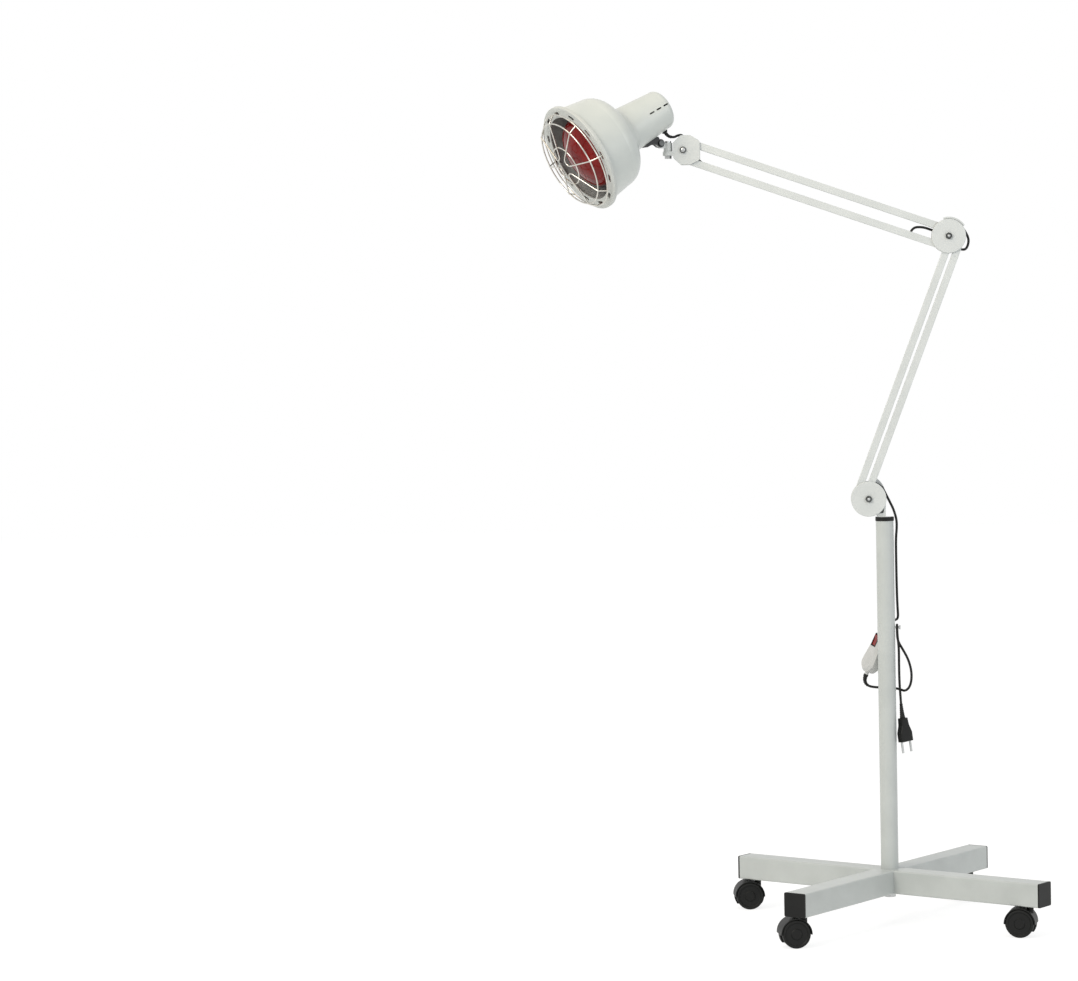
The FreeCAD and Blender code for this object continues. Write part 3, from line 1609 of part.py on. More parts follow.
def make_switch():
    """An in-line switch: drop-shaped housing, dark frame and rocker on its front."""
    body = new_body("switch_shell")
    half = switch_w / 2
    top = switch_top_w / 2
    end = switch_l / 2

    def drop(sketch):
        draw_outline(
            sketch,
            [
                (0, 0 - end, half),
                (half, half - end),
                (top, end - top, top),
                (0, end, top),
                (0 - top, end - top),
                (0 - half, half - end, half),
            ],
        )

    shell = layer(body, drop, 0 - switch_t / 2, switch_t / 2)
    face = (switch_t / 2).value

    def on_a_face(edge):
        return all(abs(abs(v.Point.y) - face) < TINY for v in edge.Vertexes)

    round_edges(body, shell, switch_bevel, on_a_face, kind="Chamfer")
    for low in (0 - end - switch_nub, end - switch_nub):
        nub = sketch_on(body, "XY_Plane", low)
        draw_circle(nub, 0, 0, cord_d / 2 + switch_nub_wall)
        pad(body, nub, switch_nub * 2)
    window = sketch_on(body, "XZ_Plane", switch_t / 2 + CUT_PAST)
    inner_x = rocker_w / 2 + rocker_side
    inner_z = rocker_l / 2 + rocker_gap
    half_x = inner_x + frame_wall
    half_z = inner_z + frame_wall
    draw_box(window, 0 - half_x, half_x, rocker_place - half_z, rocker_place + half_z)
    pocket(body, window, frame_depth + CUT_PAST)
    keep(place(body, switch_place, switch_turn), "switch_body")

    frame = new_body("switch_rim")
    outside = sketch_on(frame, "XZ_Plane", switch_t / 2 - frame_depth)
    draw_box(outside, 0 - half_x, half_x, rocker_place - half_z, rocker_place + half_z)
    pad(frame, outside, frame_depth + frame_proud)
    inside = sketch_on(frame, "XZ_Plane", switch_t / 2 + frame_proud + CUT_PAST)
    draw_box(inside, 0 - inner_x, inner_x, rocker_place - inner_z, rocker_place + inner_z)
    pocket(frame, inside, frame_depth + frame_proud + 2 * CUT_PAST)
    keep(place(frame, switch_place, switch_turn), "switch_frame")

    rocker = new_body("rocker_body")
    section = sketch_on(rocker, "YZ_Plane")
    reach = rocker_l / 2
    draw_outline(
        section,
        [
            (0 - rocker_h, 0 - reach),
            (0, 0 - reach),
            (rocker_tail, 0 - reach / 2),
            (rocker_tail, reach / 2),
            (0, reach),
            (0 - rocker_h, reach),
            (rocker_dip - rocker_h, 0),
        ],
    )
    pad(rocker, section, rocker_w, both_ways=True)
    pivot = vector(0, rocker_depth - switch_t / 2, rocker_place)
    at = switch_place + switch_turn.multVec(pivot)
    lean = switch_turn.multiply(FreeCAD.Rotation(X_AXIS, rocker_tilt.value))
    keep(place(rocker, at, lean), "switch_rocker")


def make_plug():
    """A flat two-pin plug that hangs from its cord, pins down."""
    body = new_body("plug_shell")
    top = plug_top_w / 2
    waist = plug_waist_w / 2
    half = plug_w / 2
    low = 0 - plug_l

    def outline(sketch):
        draw_outline(
            sketch,
            [
                (0 - half, low),
                (half, low),
                (half, low * plug_square),
                (waist, low * plug_waist),
                (top, 0),
                (0 - top, 0),
                (0 - waist, low * plug_waist),
                (0 - half, low * plug_square),
            ],
        )

    shell = layer(body, outline, 0 - plug_t / 2, plug_t / 2)
    face = (plug_t / 2).value

    def along_a_side(edge):
        ends = [v.Point for v in edge.Vertexes]
        flat = all(abs(abs(p.y) - face) < TINY for p in ends)
        return flat and abs(ends[0].z - ends[1].z) > TINY

    round_edges(body, shell, plug_round, along_a_side)
    bores = sketch_on(body, "XY_Plane", low)
    for side in (-1.0, 1.0):
        draw_circle(bores, plug_pin_spread * (side / 2), 0, plug_shank_d / 2)
    pocket(body, bores, plug_pin_seat, backward=True)
    keep(place(body, plug_place, plug_turn), "plug_body")
    pins = []
    down = plug_turn.multVec(Z_AXIS * -1)
    for side in (-1.0, 1.0):
        name = "left" if side < 0 else "right"
        foot = vector(plug_pin_spread * (side / 2), 0, low + plug_pin_seat)
        step = vector(plug_pin_spread * (side / 2), 0, low - plug_shank_l)
        foot_at = plug_place + plug_turn.multVec(foot)
        step_at = plug_place + plug_turn.multVec(step)
        length = plug_pin_seat + plug_shank_l
        shank = rod(f"plug_shank_{name}", plug_shank_d / 2, length, foot_at, down)
        tip_l = plug_pin_l - plug_shank_l
        tip = rod(f"plug_tip_{name}", plug_pin_d / 2, tip_l, step_at, down)
        pins.append(fuse(f"plug_pin_{name}", [shank, tip]))
    keep(group("plug_pin_set", pins), "plug_pins")


make_peg()
make_switch()
make_plug()


# ---------------------------------------------------------------- cord

def offsets_from(place_at, steps):
    """Points given by their steps from a shared place."""
    return [place_at + V(*step) for step in steps]


def make_head_cord():
    """Out of the grommet, over the bracket's plates and down between them into the bar."""
    surface = vector(grommet_at, 0, 0 - neck_radius(grommet_at))
    outlet = rim_place + head_turn.multVec(surface)
    inside = outlet + head_turn.multVec(vector(0, 0, grommet_h))
    below = outlet - head_turn.multVec(vector(0, 0, cord_drop))
    onward = offsets_from(
        front_bolt,
        [
            (-15.3, -0.7, 21.9),
            (-9.5, -0.6, 25.2),
            (-1.5, -0.1, 26.3),
            (1.6, 0, 20.3),
            (-1.6, 0, 11.5),
            (-7.6, 0, 2.5),
            (-7.2, 0, -6.2),
            (-0.5, 0, -10.8),
            (11, 0, -8.9),
            (24.9, 0, -15.3),
            (36.6, 0, -27.1),
        ],
    )
    make_cord("head_cord", [inside, below, *onward])


make_head_cord()
make_cord(
    "elbow_cord",
    offsets_from(
        elbow_bolt,
        [
            (-65.2, 0, 5),
            (-61.3, 0, 15.8),
            (-44, 0, 16.4),
            (-30, 0, 11.4),
            (-17, 0, 6.3),
            (-5, 0, 11.9),
            (2.5, 0, 23.4),
            (14, 0, 23.7),
            (24.5, 0, 13.1),
            (34, 0, -4.1),
            (32.5, 0, -17.1),
            (26.2, 0, -25.4),
            (16.9, 0, -21.8),
        ],
    ),
)
make_cord(
    "base_cord",
    offsets_from(
        base_bolt,
        [
            (11.5, 0, 26.3),
            (22.3, 0, 22.2),
            (28.3, 0, 9.5),
            (35.5, 0, -5),
            (41.7, 0, -17.9),
            (46.7, 0, -34.9),
            (47, 0, -49.8),
            (45.1, 0, -67.8),
            (45.1, 0, -85.8),
        ],
    ),
)
make_cord(
    "column_cord",
    offsets_from(
        base_bolt,
        [
            (45.1, 0, -85.8),
            (45.1, 0, -125.8),
        ],
    )
    + offsets_from(
        clip_place,
        [
            (4, 0, 56.4),
            (4.8, 0.8, 32.4),
            (5.8, 5.5, 16.4),
            (2.5, 15.5, 11.4),
            (-6.5, 27, 10),
            (-12.4, 27, -2.7),
        ],
    ),
)
make_cord(
    "plug_cord",
    offsets_from(
        clip_place,
        [
            (-49.6, 27, -82.5),
            (-53.4, 27, -90.7),
            (-49, 26, -102.1),
            (-33, 23.5, -105.1),
            (-15, 22, -104.6),
            (0, 18.5, -106.1),
            (9, 8, -107.6),
            (15, 2.5, -109.6),
            (22.5, 1, -104.1),
            (26.5, 0.5, -92.6),
            (27, 0.3, -75.6),
            (22, 0.8, -55.6),
            (13, 2.5, -38.6),
            (4.2, 4.4, -23.6),
            (3.4, 4.4, -9.6),
            (3.4, 4.4, 4.4),
            (3.4, -4.4, 4.4),
            (3.6, -4.4, -13.6),
            (5.9, -3, -33.6),
            (5.7, -2, -65.6),
            (6, -1, -93.6),
            (7.4, 0, -117.6),
            (9, 0, -142.6),
        ],
    )
    + [plug_place],
)


# ---------------------------------------------------------------- check and export


def export(made):
    bad = [s for s in made.State if s in ("Invalid", "Error")]
    if bad or made.Shape.isNull() or not made.Shape.isValid():
        raise ValueError(f"{made.Label} is not a valid solid")
    made.Shape.exportStep(f"parts/{made.Label}.step")


doc.recompute()
broken = [o.Name for o in doc.Objects if set(o.State) & {"Invalid", "Error"}]
if broken:
    raise ValueError(f"these objects failed to compute: {broken}")
os.makedirs("parts", exist_ok=True)
for piece in pieces:
    export(piece)
print(f"{len(pieces)} sub-parts")
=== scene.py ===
# %% [markdown]
# # An infrared heat therapy lamp, dressed in Blender
#
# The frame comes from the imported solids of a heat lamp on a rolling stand: a cross of square tubes
# on four twin-wheel casters, a round column, two pairs of parallel bars that carry the head, and
# the head itself with its slotted rim, wire guard and red reflector bulb. These solids keep their
# shape. Blender adds the flexible cord with its grooved boots, the caps on the joint bolts, the
# finish of every surface and the light.

# %% The frame and its box
import json

import bmesh
import bpy
from mathutils import Matrix, Vector


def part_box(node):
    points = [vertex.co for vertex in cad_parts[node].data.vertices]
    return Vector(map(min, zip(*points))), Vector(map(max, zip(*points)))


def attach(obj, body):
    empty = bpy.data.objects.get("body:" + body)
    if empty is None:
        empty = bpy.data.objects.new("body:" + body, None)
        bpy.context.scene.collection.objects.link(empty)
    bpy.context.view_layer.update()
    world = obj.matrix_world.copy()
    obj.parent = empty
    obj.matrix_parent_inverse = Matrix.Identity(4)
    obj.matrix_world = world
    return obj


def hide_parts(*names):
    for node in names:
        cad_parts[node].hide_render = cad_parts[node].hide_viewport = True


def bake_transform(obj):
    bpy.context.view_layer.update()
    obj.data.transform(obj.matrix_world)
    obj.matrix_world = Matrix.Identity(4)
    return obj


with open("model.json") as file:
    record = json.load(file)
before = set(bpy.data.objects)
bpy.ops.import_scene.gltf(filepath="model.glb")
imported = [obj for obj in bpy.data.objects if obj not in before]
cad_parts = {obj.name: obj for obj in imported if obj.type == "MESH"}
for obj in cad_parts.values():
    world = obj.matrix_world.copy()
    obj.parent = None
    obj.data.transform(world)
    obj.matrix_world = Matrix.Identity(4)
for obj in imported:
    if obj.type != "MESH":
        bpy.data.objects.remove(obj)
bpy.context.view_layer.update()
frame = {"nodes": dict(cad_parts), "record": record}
nodes = frame["nodes"]

# %% [markdown]
# ## The camera
#
# A product picture is taken from far away with a long lens, so that upright tubes stay upright
# and the four casters look equally big. The camera stands 5.6 m in front of the lamp, at about
# the height of the lower arm's middle, and looks slightly down. Its place and its directions were
# worked out from the tube ends, bolts and rim, so they are written as they came.

# %% Camera
CAMERA_AT = Vector((-0.1557, -5.6149, 0.9944))
CAMERA_RIGHT = Vector((0.9969, 0.07622, -0.0195))
CAMERA_UP = Vector((0.01611, 0.04487, 0.99886))
LENS_MM = 109.6
SENSOR_MM = 36
NEAREST, FARTHEST = 0.1, 60


def turned(right, up, back, place):
    """A matrix whose first three columns are directions and whose last is a place."""
    made = Matrix.Identity(4)
    for column, direction in enumerate((right, up, back, place)):
        for row in range(3):
            made[row][column] = direction[row]
    return made


camera = bpy.data.objects.new("camera", bpy.data.cameras.new("camera"))
camera.data.lens = LENS_MM
camera.data.sensor_width = SENSOR_MM
camera.data.clip_start = NEAREST
camera.data.clip_end = FARTHEST
right = CAMERA_RIGHT.normalized()
back = right.cross(CAMERA_UP).normalized()
camera.matrix_world = turned(right, back.cross(right), back, CAMERA_AT)
bpy.context.scene.collection.objects.link(camera)
bpy.context.scene.camera = camera
print("camera at", [round(x, 3) for x in CAMERA_AT], "lens", LENS_MM, "mm")

# %% [markdown]
# ## The cord
#
# The lamp's own lead is one round flexible cord with a black rubber-like PVC sheath. It leaves
# the head through a grommet, runs inside the bars, and shows in four places: at the front
# bracket, round the elbow, at the first joint, and down the column through the in-line switch to
# the plug, which hangs from a peg on the column. A smooth NURBS curve of order three follows a
# few given points and never kinks, which is how a sheathed cord bends.

# %% Cord routes in millimetres
MM = 0.001
CORD_MM = 4.2
CURVE_ORDER = 3
STEPS_PER_SPAN = 10

HEAD_ROUTE = [
    (-365.01, -4.16, 1361.58), (-359.71, -1.06, 1350.12), (-347.5, -0.7, 1347.4),
    (-341.7, -0.6, 1350.7), (-333.7, -0.1, 1351.8), (-330.6, 0, 1345.8), (-333.8, 0, 1337.0),
    (-339.8, 0, 1328.0), (-339.4, 0, 1319.3), (-332.7, 0, 1314.7), (-321.2, 0, 1316.6),
    (-307.3, 0, 1310.2), (-295.6, 0, 1298.4),
]
ELBOW_ROUTE = [
    (49.9, 0, 1174.8), (53.8, 0, 1185.6), (71.1, 0, 1186.2), (85.1, 0, 1181.2),
    (98.1, 0, 1176.1), (110.1, 0, 1181.7), (117.6, 0, 1193.2), (129.1, 0, 1193.5),
    (139.6, 0, 1182.9), (149.1, 0, 1165.7), (147.6, 0, 1152.7), (141.3, 0, 1144.4),
    (132.0, 0, 1148.0),
]
BASE_ROUTE = [
    (-15.0, 0, 752.1), (-4.2, 0, 748.0), (1.8, 0, 735.3), (9.0, 0, 720.8), (15.2, 0, 707.9),
    (20.2, 0, 690.9), (20.5, 0, 676.0), (18.6, 0, 658.0), (18.6, 0, 640.0),
]
COLUMN_ROUTE = [
    (18.6, 0, 640), (18.6, 0, 600), (19.0, 0, 562), (19.8, 0.8, 538), (20.8, 5.5, 522),
    (17.5, 15.5, 517), (8.5, 27, 515.6), (2.6, 27, 502.9),
]
PLUG_ROUTE = [
    (-34.6, 27, 423.1), (-38.4, 27, 414.9), (-34, 26, 403.5), (-18, 23.5, 400.5), (0, 22, 401),
    (15, 18.5, 399.5), (24, 8, 398), (30, 2.5, 396), (37.5, 1, 401.5), (41.5, 0.5, 413),
    (42, 0.3, 430), (37, 0.8, 450), (28, 2.5, 467), (19.2, 4.4, 482), (18.4, 4.4, 496),
    (18.4, 4.4, 510), (18.4, -4.4, 510), (18.6, -4.4, 492), (20.9, -3, 472), (20.7, -2, 440),
    (21, -1, 412), (22.4, 0, 388), (24, 0, 363), (25.6, 0, 350),
]


def line_of_route(route):
    """The points along the NURBS curve that a route steers, in order, read back from Blender."""
    curve = bpy.data.curves.new("bare_line", "CURVE")
    curve.dimensions = "3D"
    curve.resolution_u = STEPS_PER_SPAN
    spline = curve.splines.new("NURBS")
    spline.points.add(len(route) - 1)
    for point, place in zip(spline.points, route):
        point.co = (*[value * MM for value in place], 1)
    spline.order_u = CURVE_ORDER
    spline.use_endpoint_u = True
    bare = bpy.data.objects.new("bare_line", curve)
    bpy.context.scene.collection.objects.link(bare)
    bpy.context.view_layer.update()
    seen = bare.evaluated_get(bpy.context.evaluated_depsgraph_get())
    mesh = bpy.data.meshes.new_from_object(seen)
    points = [vertex.co.copy() for vertex in mesh.vertices]
    bpy.data.meshes.remove(mesh)
    bpy.data.objects.remove(bare)
    bpy.data.curves.remove(curve)
    return points


def length_of(points):
    return sum((b - a).length for a, b in zip(points, points[1:]))


# %% [markdown]
# Where the cord crosses a joint it has to bend with it. Blender can bend a mesh between two
# bodies, and only between two, so such a stretch is cut into one tube for each joint; the tubes
# are placed where they lie and are not set to bend here. All tubes follow the points of the same
# smooth spline, so the cuts don't show. A tube is a ring of vertices at each point, turned to the
# line's direction, with neighbouring rings bridged and both ends closed.

# %% Tubes along a line
CORD_SIDES = 16
BOOT_SIDES = 24


def mesh_object(bm, name):
    """Ends a bmesh: makes an object of it, at the origin, with smooth faces."""
    data = bpy.data.meshes.new(name)
    bm.to_mesh(data)
    bm.free()
    data.polygons.foreach_set("use_smooth", [True] * len(data.polygons))
    made = bpy.data.objects.new(name, data)
    bpy.context.scene.collection.objects.link(made)
    return made


def tube_along(name, points, radii, sides=CORD_SIDES):
    """A closed round tube whose radius may change from point to point."""
    bm = bmesh.new()
    rings = []
    side = None
    for index, place in enumerate(points):
        ahead = points[min(index + 1, len(points) - 1)] - points[max(index - 1, 0)]
        ahead.normalize()
        if side is None:
            side = ahead.orthogonal().normalized()
        side = (side - ahead * side.dot(ahead)).normalized()
        ring = bmesh.ops.create_circle(
            bm, segments=sides, radius=radii[index],
            matrix=turned(side, ahead.cross(side), ahead, place))["verts"]
        rings.append(list({edge for vertex in ring for edge in vertex.link_edges}))
    for low, high in zip(rings, rings[1:]):
        bmesh.ops.bridge_loops(bm, edges=low + high)
    bmesh.ops.holes_fill(bm, edges=rings[0] + rings[-1])
    bmesh.ops.recalc_face_normals(bm, faces=bm.faces)
    return mesh_object(bm, name)


def cut_line(points, *shares):
    """Cuts a line into runs at shares of its length; neighbours keep the point that they share."""
    whole = length_of(points)
    runs = [[points[0]]]
    gone = 0
    ends = list(shares)
    for before, after in zip(points, points[1:]):
        gone += (after - before).length
        runs[-1].append(after)
        if ends and gone >= ends[0] * whole:
            ends.pop(0)
            runs.append([after])
    return runs


# %% Cord pieces cut at the joints
SHARE_IN_BOOT = 0.12


def bending_cord(line, stretches, node):
    """One tube per stretch: its name, two bodies and a blend start and end (none used), and where it
    stops.
    """
    shares = [share for *_, share in stretches]
    runs = cut_line(line, *shares[:-1])
    made = []
    for run, (name, body_a, body_b, start, end, _) in zip(runs, stretches):
        piece = tube_along(name, run, [CORD_MM / 2 * MM] * len(run))
        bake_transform(piece)
        made.append(piece)
        print(name, "is", round(length_of(run) / MM, 1), "mm long")
    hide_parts(node)
    return made


in_boot, head_line = cut_line(line_of_route(HEAD_ROUTE), SHARE_IN_BOOT)
head_cord = bending_cord(head_line, [
    ("cord_over_pan", "knuckle", "front", (-355, -1, 1349), (-344, -1, 1348), 0.43),
    ("cord_in_front_bracket", "front", "upper_bottom", (-338, 0, 1320), (-312, 0, 1310), 1),
], "head_cord")
elbow_cord = bending_cord(line_of_route(ELBOW_ROUTE), [
    ("cord_over_elbow", "upper_bottom", "elbow", (62, 0, 1186), (100, 0, 1178), 0.56),
    ("cord_round_elbow", "elbow", "lower_right", (145, 0, 1170), (141, 0, 1149), 1),
], "elbow_cord")
base_cord = bending_cord(line_of_route(BASE_ROUTE), [
    ("cord_from_lower_bar", "lower_right", "swivel", (-12, 0, 751), (5, 0, 730), 0.45),
    ("cord_past_collar", "swivel", "stand", (14, 0, 708), (19, 0, 668), 1),
], "base_cord")


# %% [markdown]
# A cord that leaves a stiff housing would break at the edge, so it wears a boot there: a soft
# sleeve, moulded on, that grows thinner away from the housing and is grooved all round so that it
# bends evenly. The lamp has one at the head's grommet, one on each end of the in-line switch and
# one behind the plug. Each follows the cord's own spline, in steps short enough to show the
# grooves.

# %% Grooved boots
BOOT_STEP_MM = 0.8
GROOVE_MM = 0.45
GROOVE_EVERY = 4
PLAIN_AT_HOUSING = 4
PLAIN_AT_TIP = 2


def boot(name, line, length_mm, thick_mm, thin_mm):
    """A grooved sleeve round the first part of a line; grooves are counted in steps along it."""
    steps = round(length_mm / BOOT_STEP_MM)
    places = [line[0]]
    gone = 0
    for before, after in zip(line, line[1:]):
        span = (after - before).length
        while len(places) <= steps and len(places) * BOOT_STEP_MM * MM <= gone + span:
            places.append(before.lerp(after, (len(places) * BOOT_STEP_MM * MM - gone) / span))
        gone += span
    radii = []
    for index in range(len(places)):
        taper = thick_mm + (thin_mm - thick_mm) * index / steps
        grooved = (index % GROOVE_EVERY >= GROOVE_EVERY / 2
                   and PLAIN_AT_HOUSING < index < steps - PLAIN_AT_TIP)
        radii.append((taper / 2 - (GROOVE_MM if grooved else 0)) * MM)
    made = tube_along(name, places, radii, sides=BOOT_SIDES)
    print(name, "is", round(len(places) * BOOT_STEP_MM, 1), "mm long")
    return made


column_line = line_of_route(COLUMN_ROUTE)
plug_line = line_of_route(PLUG_ROUTE)
grommet_boot = boot("boot_at_grommet", in_boot + head_line[1:],
                    length_mm=20, thick_mm=7.6, thin_mm=5.2)
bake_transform(grommet_boot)
switch_boot_above = boot("boot_above_switch", column_line[::-1],
                         length_mm=22, thick_mm=8.6, thin_mm=5.2)
switch_boot_below = boot("boot_below_switch", plug_line,
                         length_mm=21, thick_mm=8.6, thin_mm=5.2)
plug_boot = boot("boot_on_plug", plug_line[::-1],
                 length_mm=25, thick_mm=9.4, thin_mm=5.4)
for piece in (switch_boot_above, switch_boot_below, plug_boot):
    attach(piece, "stand")


# %% Cord pieces that stay with the column
def resting_cord(name, line, node):
    """A round cord along a line that no joint bends."""
    made = tube_along(name, line, [CORD_MM / 2 * MM] * len(line))
    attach(made, "stand")
    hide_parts(node)
    print(name, "is", round(length_of(line) / MM, 1), "mm long")
    return made


column_cord = resting_cord(
    "cord_down_column", column_line, "column_cord")
plug_cord = resting_cord(
    "cord_to_plug", plug_line, "plug_cord")

# %% [markdown]
# ## Finishes
#
# Every surface gets a material named for what the real one is, and where its colour holds painted
# shade the name says that too. Colours are written as the hex values that a paint maker would give,
# and one function turns them into the linear light that Blender mixes. A second small function adds
# a node, sets it and links it. Patterns read Object coordinates turned into millimetres, so a scale
# is written as the real size of the grain.

# %% Colour and node helpers
def linear(code, alpha=1.0):
    """An sRGB hex colour as linear light."""
    values = [int(code[i:i + 2], 16) / 255 for i in (1, 3, 5)]
    return (*[v / 12.92 if v <= 0.04045 else ((v + 0.055) / 1.055) ** 2.4 for v in values], alpha)


def add(tree, kind, inputs=None, **settings):
    """Adds one node; an input is a value, or a socket that it is linked to."""
    made = tree.nodes.new(kind)
    for name, value in settings.items():
        setattr(made, name, value)
    for name, value in (inputs or {}).items():
        if isinstance(value, bpy.types.NodeSocket):
            tree.links.new(value, made.inputs[name])
        else:
            made.inputs[name].default_value = value
    return made


def new_finish(name):
    """An empty material, its node tree, and its Object coordinates in millimetres."""
    material = bpy.data.materials.new(name)
    material.use_nodes = True
    tree = material.node_tree
    tree.nodes.clear()
    place = add(tree, "ShaderNodeTexCoord").outputs["Object"]
    in_mm = add(tree, "ShaderNodeVectorMath", {0: place, "Scale": 1 / MM}, operation="SCALE")
    return material, tree, in_mm.outputs["Vector"]


def grain(tree, place, size_mm, detail=2.0, roughness=0.5):
    """Noise whose patches are about size_mm across, from 0 to 1."""
    return add(tree, "ShaderNodeTexNoise", {
        "Vector": place, "Scale": 1 / size_mm, "Detail": detail,
        "Roughness": roughness}).outputs["Fac"]


def two_tone(tree, factor, dark, light, start=0.3, end=0.7):
    """The dark colour where the factor is below start, the light one above end, a ramp between."""
    made = add(tree, "ShaderNodeValToRGB", {"Fac": factor})
    for stop, place, code in zip(made.color_ramp.elements, (start, end), (dark, light)):
        stop.position = place
        stop.color = linear(code)
    return made.outputs["Color"]


def level(tree, factor, low, high, start=0.0, end=1.0):
    """Carries a factor from start..end over to low..high."""
    return add(tree, "ShaderNodeMapRange", {
        "Value": factor, "From Min": start, "From Max": end,
        "To Min": low, "To Max": high}).outputs["Result"]


def mix(tree, factor, first, second, data_type="FLOAT"):
    """The first where the factor is 0, the second where it is 1."""
    return add(tree, "ShaderNodeMix", {"Factor": factor, "A": first, "B": second},
               data_type=data_type).outputs["Result"]


def bump(tree, height, depth_mm, strength):
    return add(tree, "ShaderNodeBump", {
        "Height": height, "Distance": depth_mm * MM, "Strength": strength}).outputs["Normal"]


def finish_off(material, tree, **inputs):
    """Adds the surface shader and the output; names use _ where the socket has a space."""
    shader = add(tree, "ShaderNodeBsdfPrincipled",
                 {name.replace("_", " "): value for name, value in inputs.items()})
    add(tree, "ShaderNodeOutputMaterial", {"Surface": shader.outputs["BSDF"]})
    return material


# %% The head's own axis
RIM_CENTRE_MM = Vector((-503.968, -85.355, 1311.503))
HEAD_BACK = Vector((0.76091, 0.44464, 0.47255)).normalized()


def from_rim(tree, place):
    """The step from the rim's centre to the shaded point, and how far back it goes on the axis."""
    step = add(tree, "ShaderNodeVectorMath", {0: place, 1: RIM_CENTRE_MM},
               operation="SUBTRACT").outputs["Vector"]
    along = add(tree, "ShaderNodeVectorMath", {0: step, 1: HEAD_BACK},
                operation="DOT_PRODUCT").outputs["Value"]
    return step, along


# %% [markdown]
# ### Powder coat
#
# The stand, the bars and the joint plates are steel with a baked polyester powder coat in light
# grey. The powder melts into a skin with a faint orange peel, about 2 mm from crest to crest, and
# a satin gloss. The tint drifts a little along each piece, and a little dust lies in the skin.

# %% Powder-coated steel
DRIFT_MM = 60
DUST = "#8E918D"


def powder_coat(name, light, dark, peel_mm, roughness):
    material, tree, place = new_finish(name)
    drift = grain(tree, place, DRIFT_MM, detail=3)
    speck = grain(tree, place, 1.1, detail=1)
    tint = two_tone(tree, drift, dark, light)
    peel = grain(tree, place, peel_mm, detail=1.5)
    dustiness = level(tree, speck, 0, 0.04, start=0.35, end=0.75)
    dusty = mix(tree, dustiness, tint, linear(DUST), "RGBA")
    return finish_off(
        material, tree, Base_Color=dusty,
        Roughness=level(tree, drift, roughness - 0.05, roughness + 0.07),
        Normal=bump(tree, peel, depth_mm=0.03, strength=0.4))


frame_paint = powder_coat("powder_coat_light_grey", "#C2C7C5", "#B8BDBB",
                          peel_mm=2.2, roughness=0.36)
arm_paint = powder_coat("powder_coat_pale_grey", "#D0D4D3", "#C8CCCB",
                        peel_mm=1.8, roughness=0.4)
# The rim has the shade's enamel in a darker copy: painted shade for its face and its slots.
rim_paint = powder_coat("rim_enamel_darkened_as_painted_shade", "#C3C7C4", "#B9BDBA",
                        peel_mm=2.0, roughness=0.33)


# %% [markdown]
# The shade is enamelled outside only. Inside it is given a darker satin grey, painted shade for
# the hollow, so the gap round the bulb and the slots look deep. One material does both: a face
# looks inwards when its normal points towards the head's axis, and that holds at every pose
# because both are read in Object space.

# %% Shade: enamel outside, painted shade inside
INWARDS_MM = -4


def looks_inwards(tree, place):
    """1 on faces whose normal points against the step that leads out from the head's axis."""
    step, along = from_rim(tree, place)
    on_axis = add(tree, "ShaderNodeVectorMath", {0: HEAD_BACK, "Scale": along},
                  operation="SCALE").outputs["Vector"]
    outward = add(tree, "ShaderNodeVectorMath", {0: step, 1: on_axis},
                  operation="SUBTRACT").outputs["Vector"]
    normal = add(tree, "ShaderNodeTexCoord").outputs["Normal"]
    facing = add(tree, "ShaderNodeVectorMath", {0: outward, 1: normal},
                 operation="DOT_PRODUCT").outputs["Value"]
    return add(tree, "ShaderNodeMath", {0: facing, 1: INWARDS_MM},
               operation="LESS_THAN").outputs[0]


def shade_skin(name, light, dark, roughness, inside_painted_shade_pale, inside_painted_shade_deep, inner_roughness):
    material, tree, place = new_finish(name)
    inside = looks_inwards(tree, place)
    drift = grain(tree, place, DRIFT_MM, detail=3)
    haze = grain(tree, place, 11, detail=4)
    peel = grain(tree, place, 2.6, detail=1.5)
    return finish_off(
        material, tree,
        Base_Color=mix(tree, inside, two_tone(tree, drift, dark, light),
                       two_tone(tree, haze, inside_painted_shade_deep, inside_painted_shade_pale), "RGBA"),
        Roughness=mix(tree, inside, level(tree, drift, roughness - 0.05, roughness + 0.07),
                      level(tree, haze, inner_roughness - 0.05, inner_roughness + 0.1)),
        Normal=bump(tree, peel, depth_mm=0.05, strength=0.6))


# Inside, darker greys paint in the shade of the hollow round the bulb.
shade_paint = shade_skin("stove_enamel_outside_painted_shade_inside",
                         "#CCD1CD", "#C3C9C6", 0.3, "#A0A19F", "#888987", 0.45)


# %% [markdown]
# ### Lacquer and plastic
#
# The bracket on the lamp's neck is pressed steel under a semi-gloss black lacquer. The collar,
# the tube caps and the casters are moulded polypropylene with the fine spark grain of the tool.
# The cord's sheath is soft PVC, which is nearly smooth and shines in a broad band. The in-line
# switch is moulded too, in pale grey with a red rocker. White surroundings wash a black skin out
# to grey when it mirrors them, so the black ones mirror half as much as the others.

# %% Black lacquer, moulded plastic and cord sheath
def moulded(name, light, dark, grain_mm, depth_mm, roughness, speckle="#1F201F", mirrored=0.25):
    material, tree, place = new_finish(name)
    patches = grain(tree, place, 25, detail=3)
    spark = grain(tree, place, grain_mm, detail=3, roughness=0.65)
    tint = two_tone(tree, patches, dark, light, end=0.75)
    dustiness = level(tree, spark, 0, 0.3, start=0.55, end=0.8)
    dusty = mix(tree, dustiness, tint, linear(speckle), "RGBA")
    return finish_off(
        material, tree, Base_Color=dusty, Specular_IOR_Level=mirrored,
        Roughness=level(tree, patches, roughness - 0.06, roughness + 0.08),
        Normal=bump(tree, spark, depth_mm, strength=0.7))


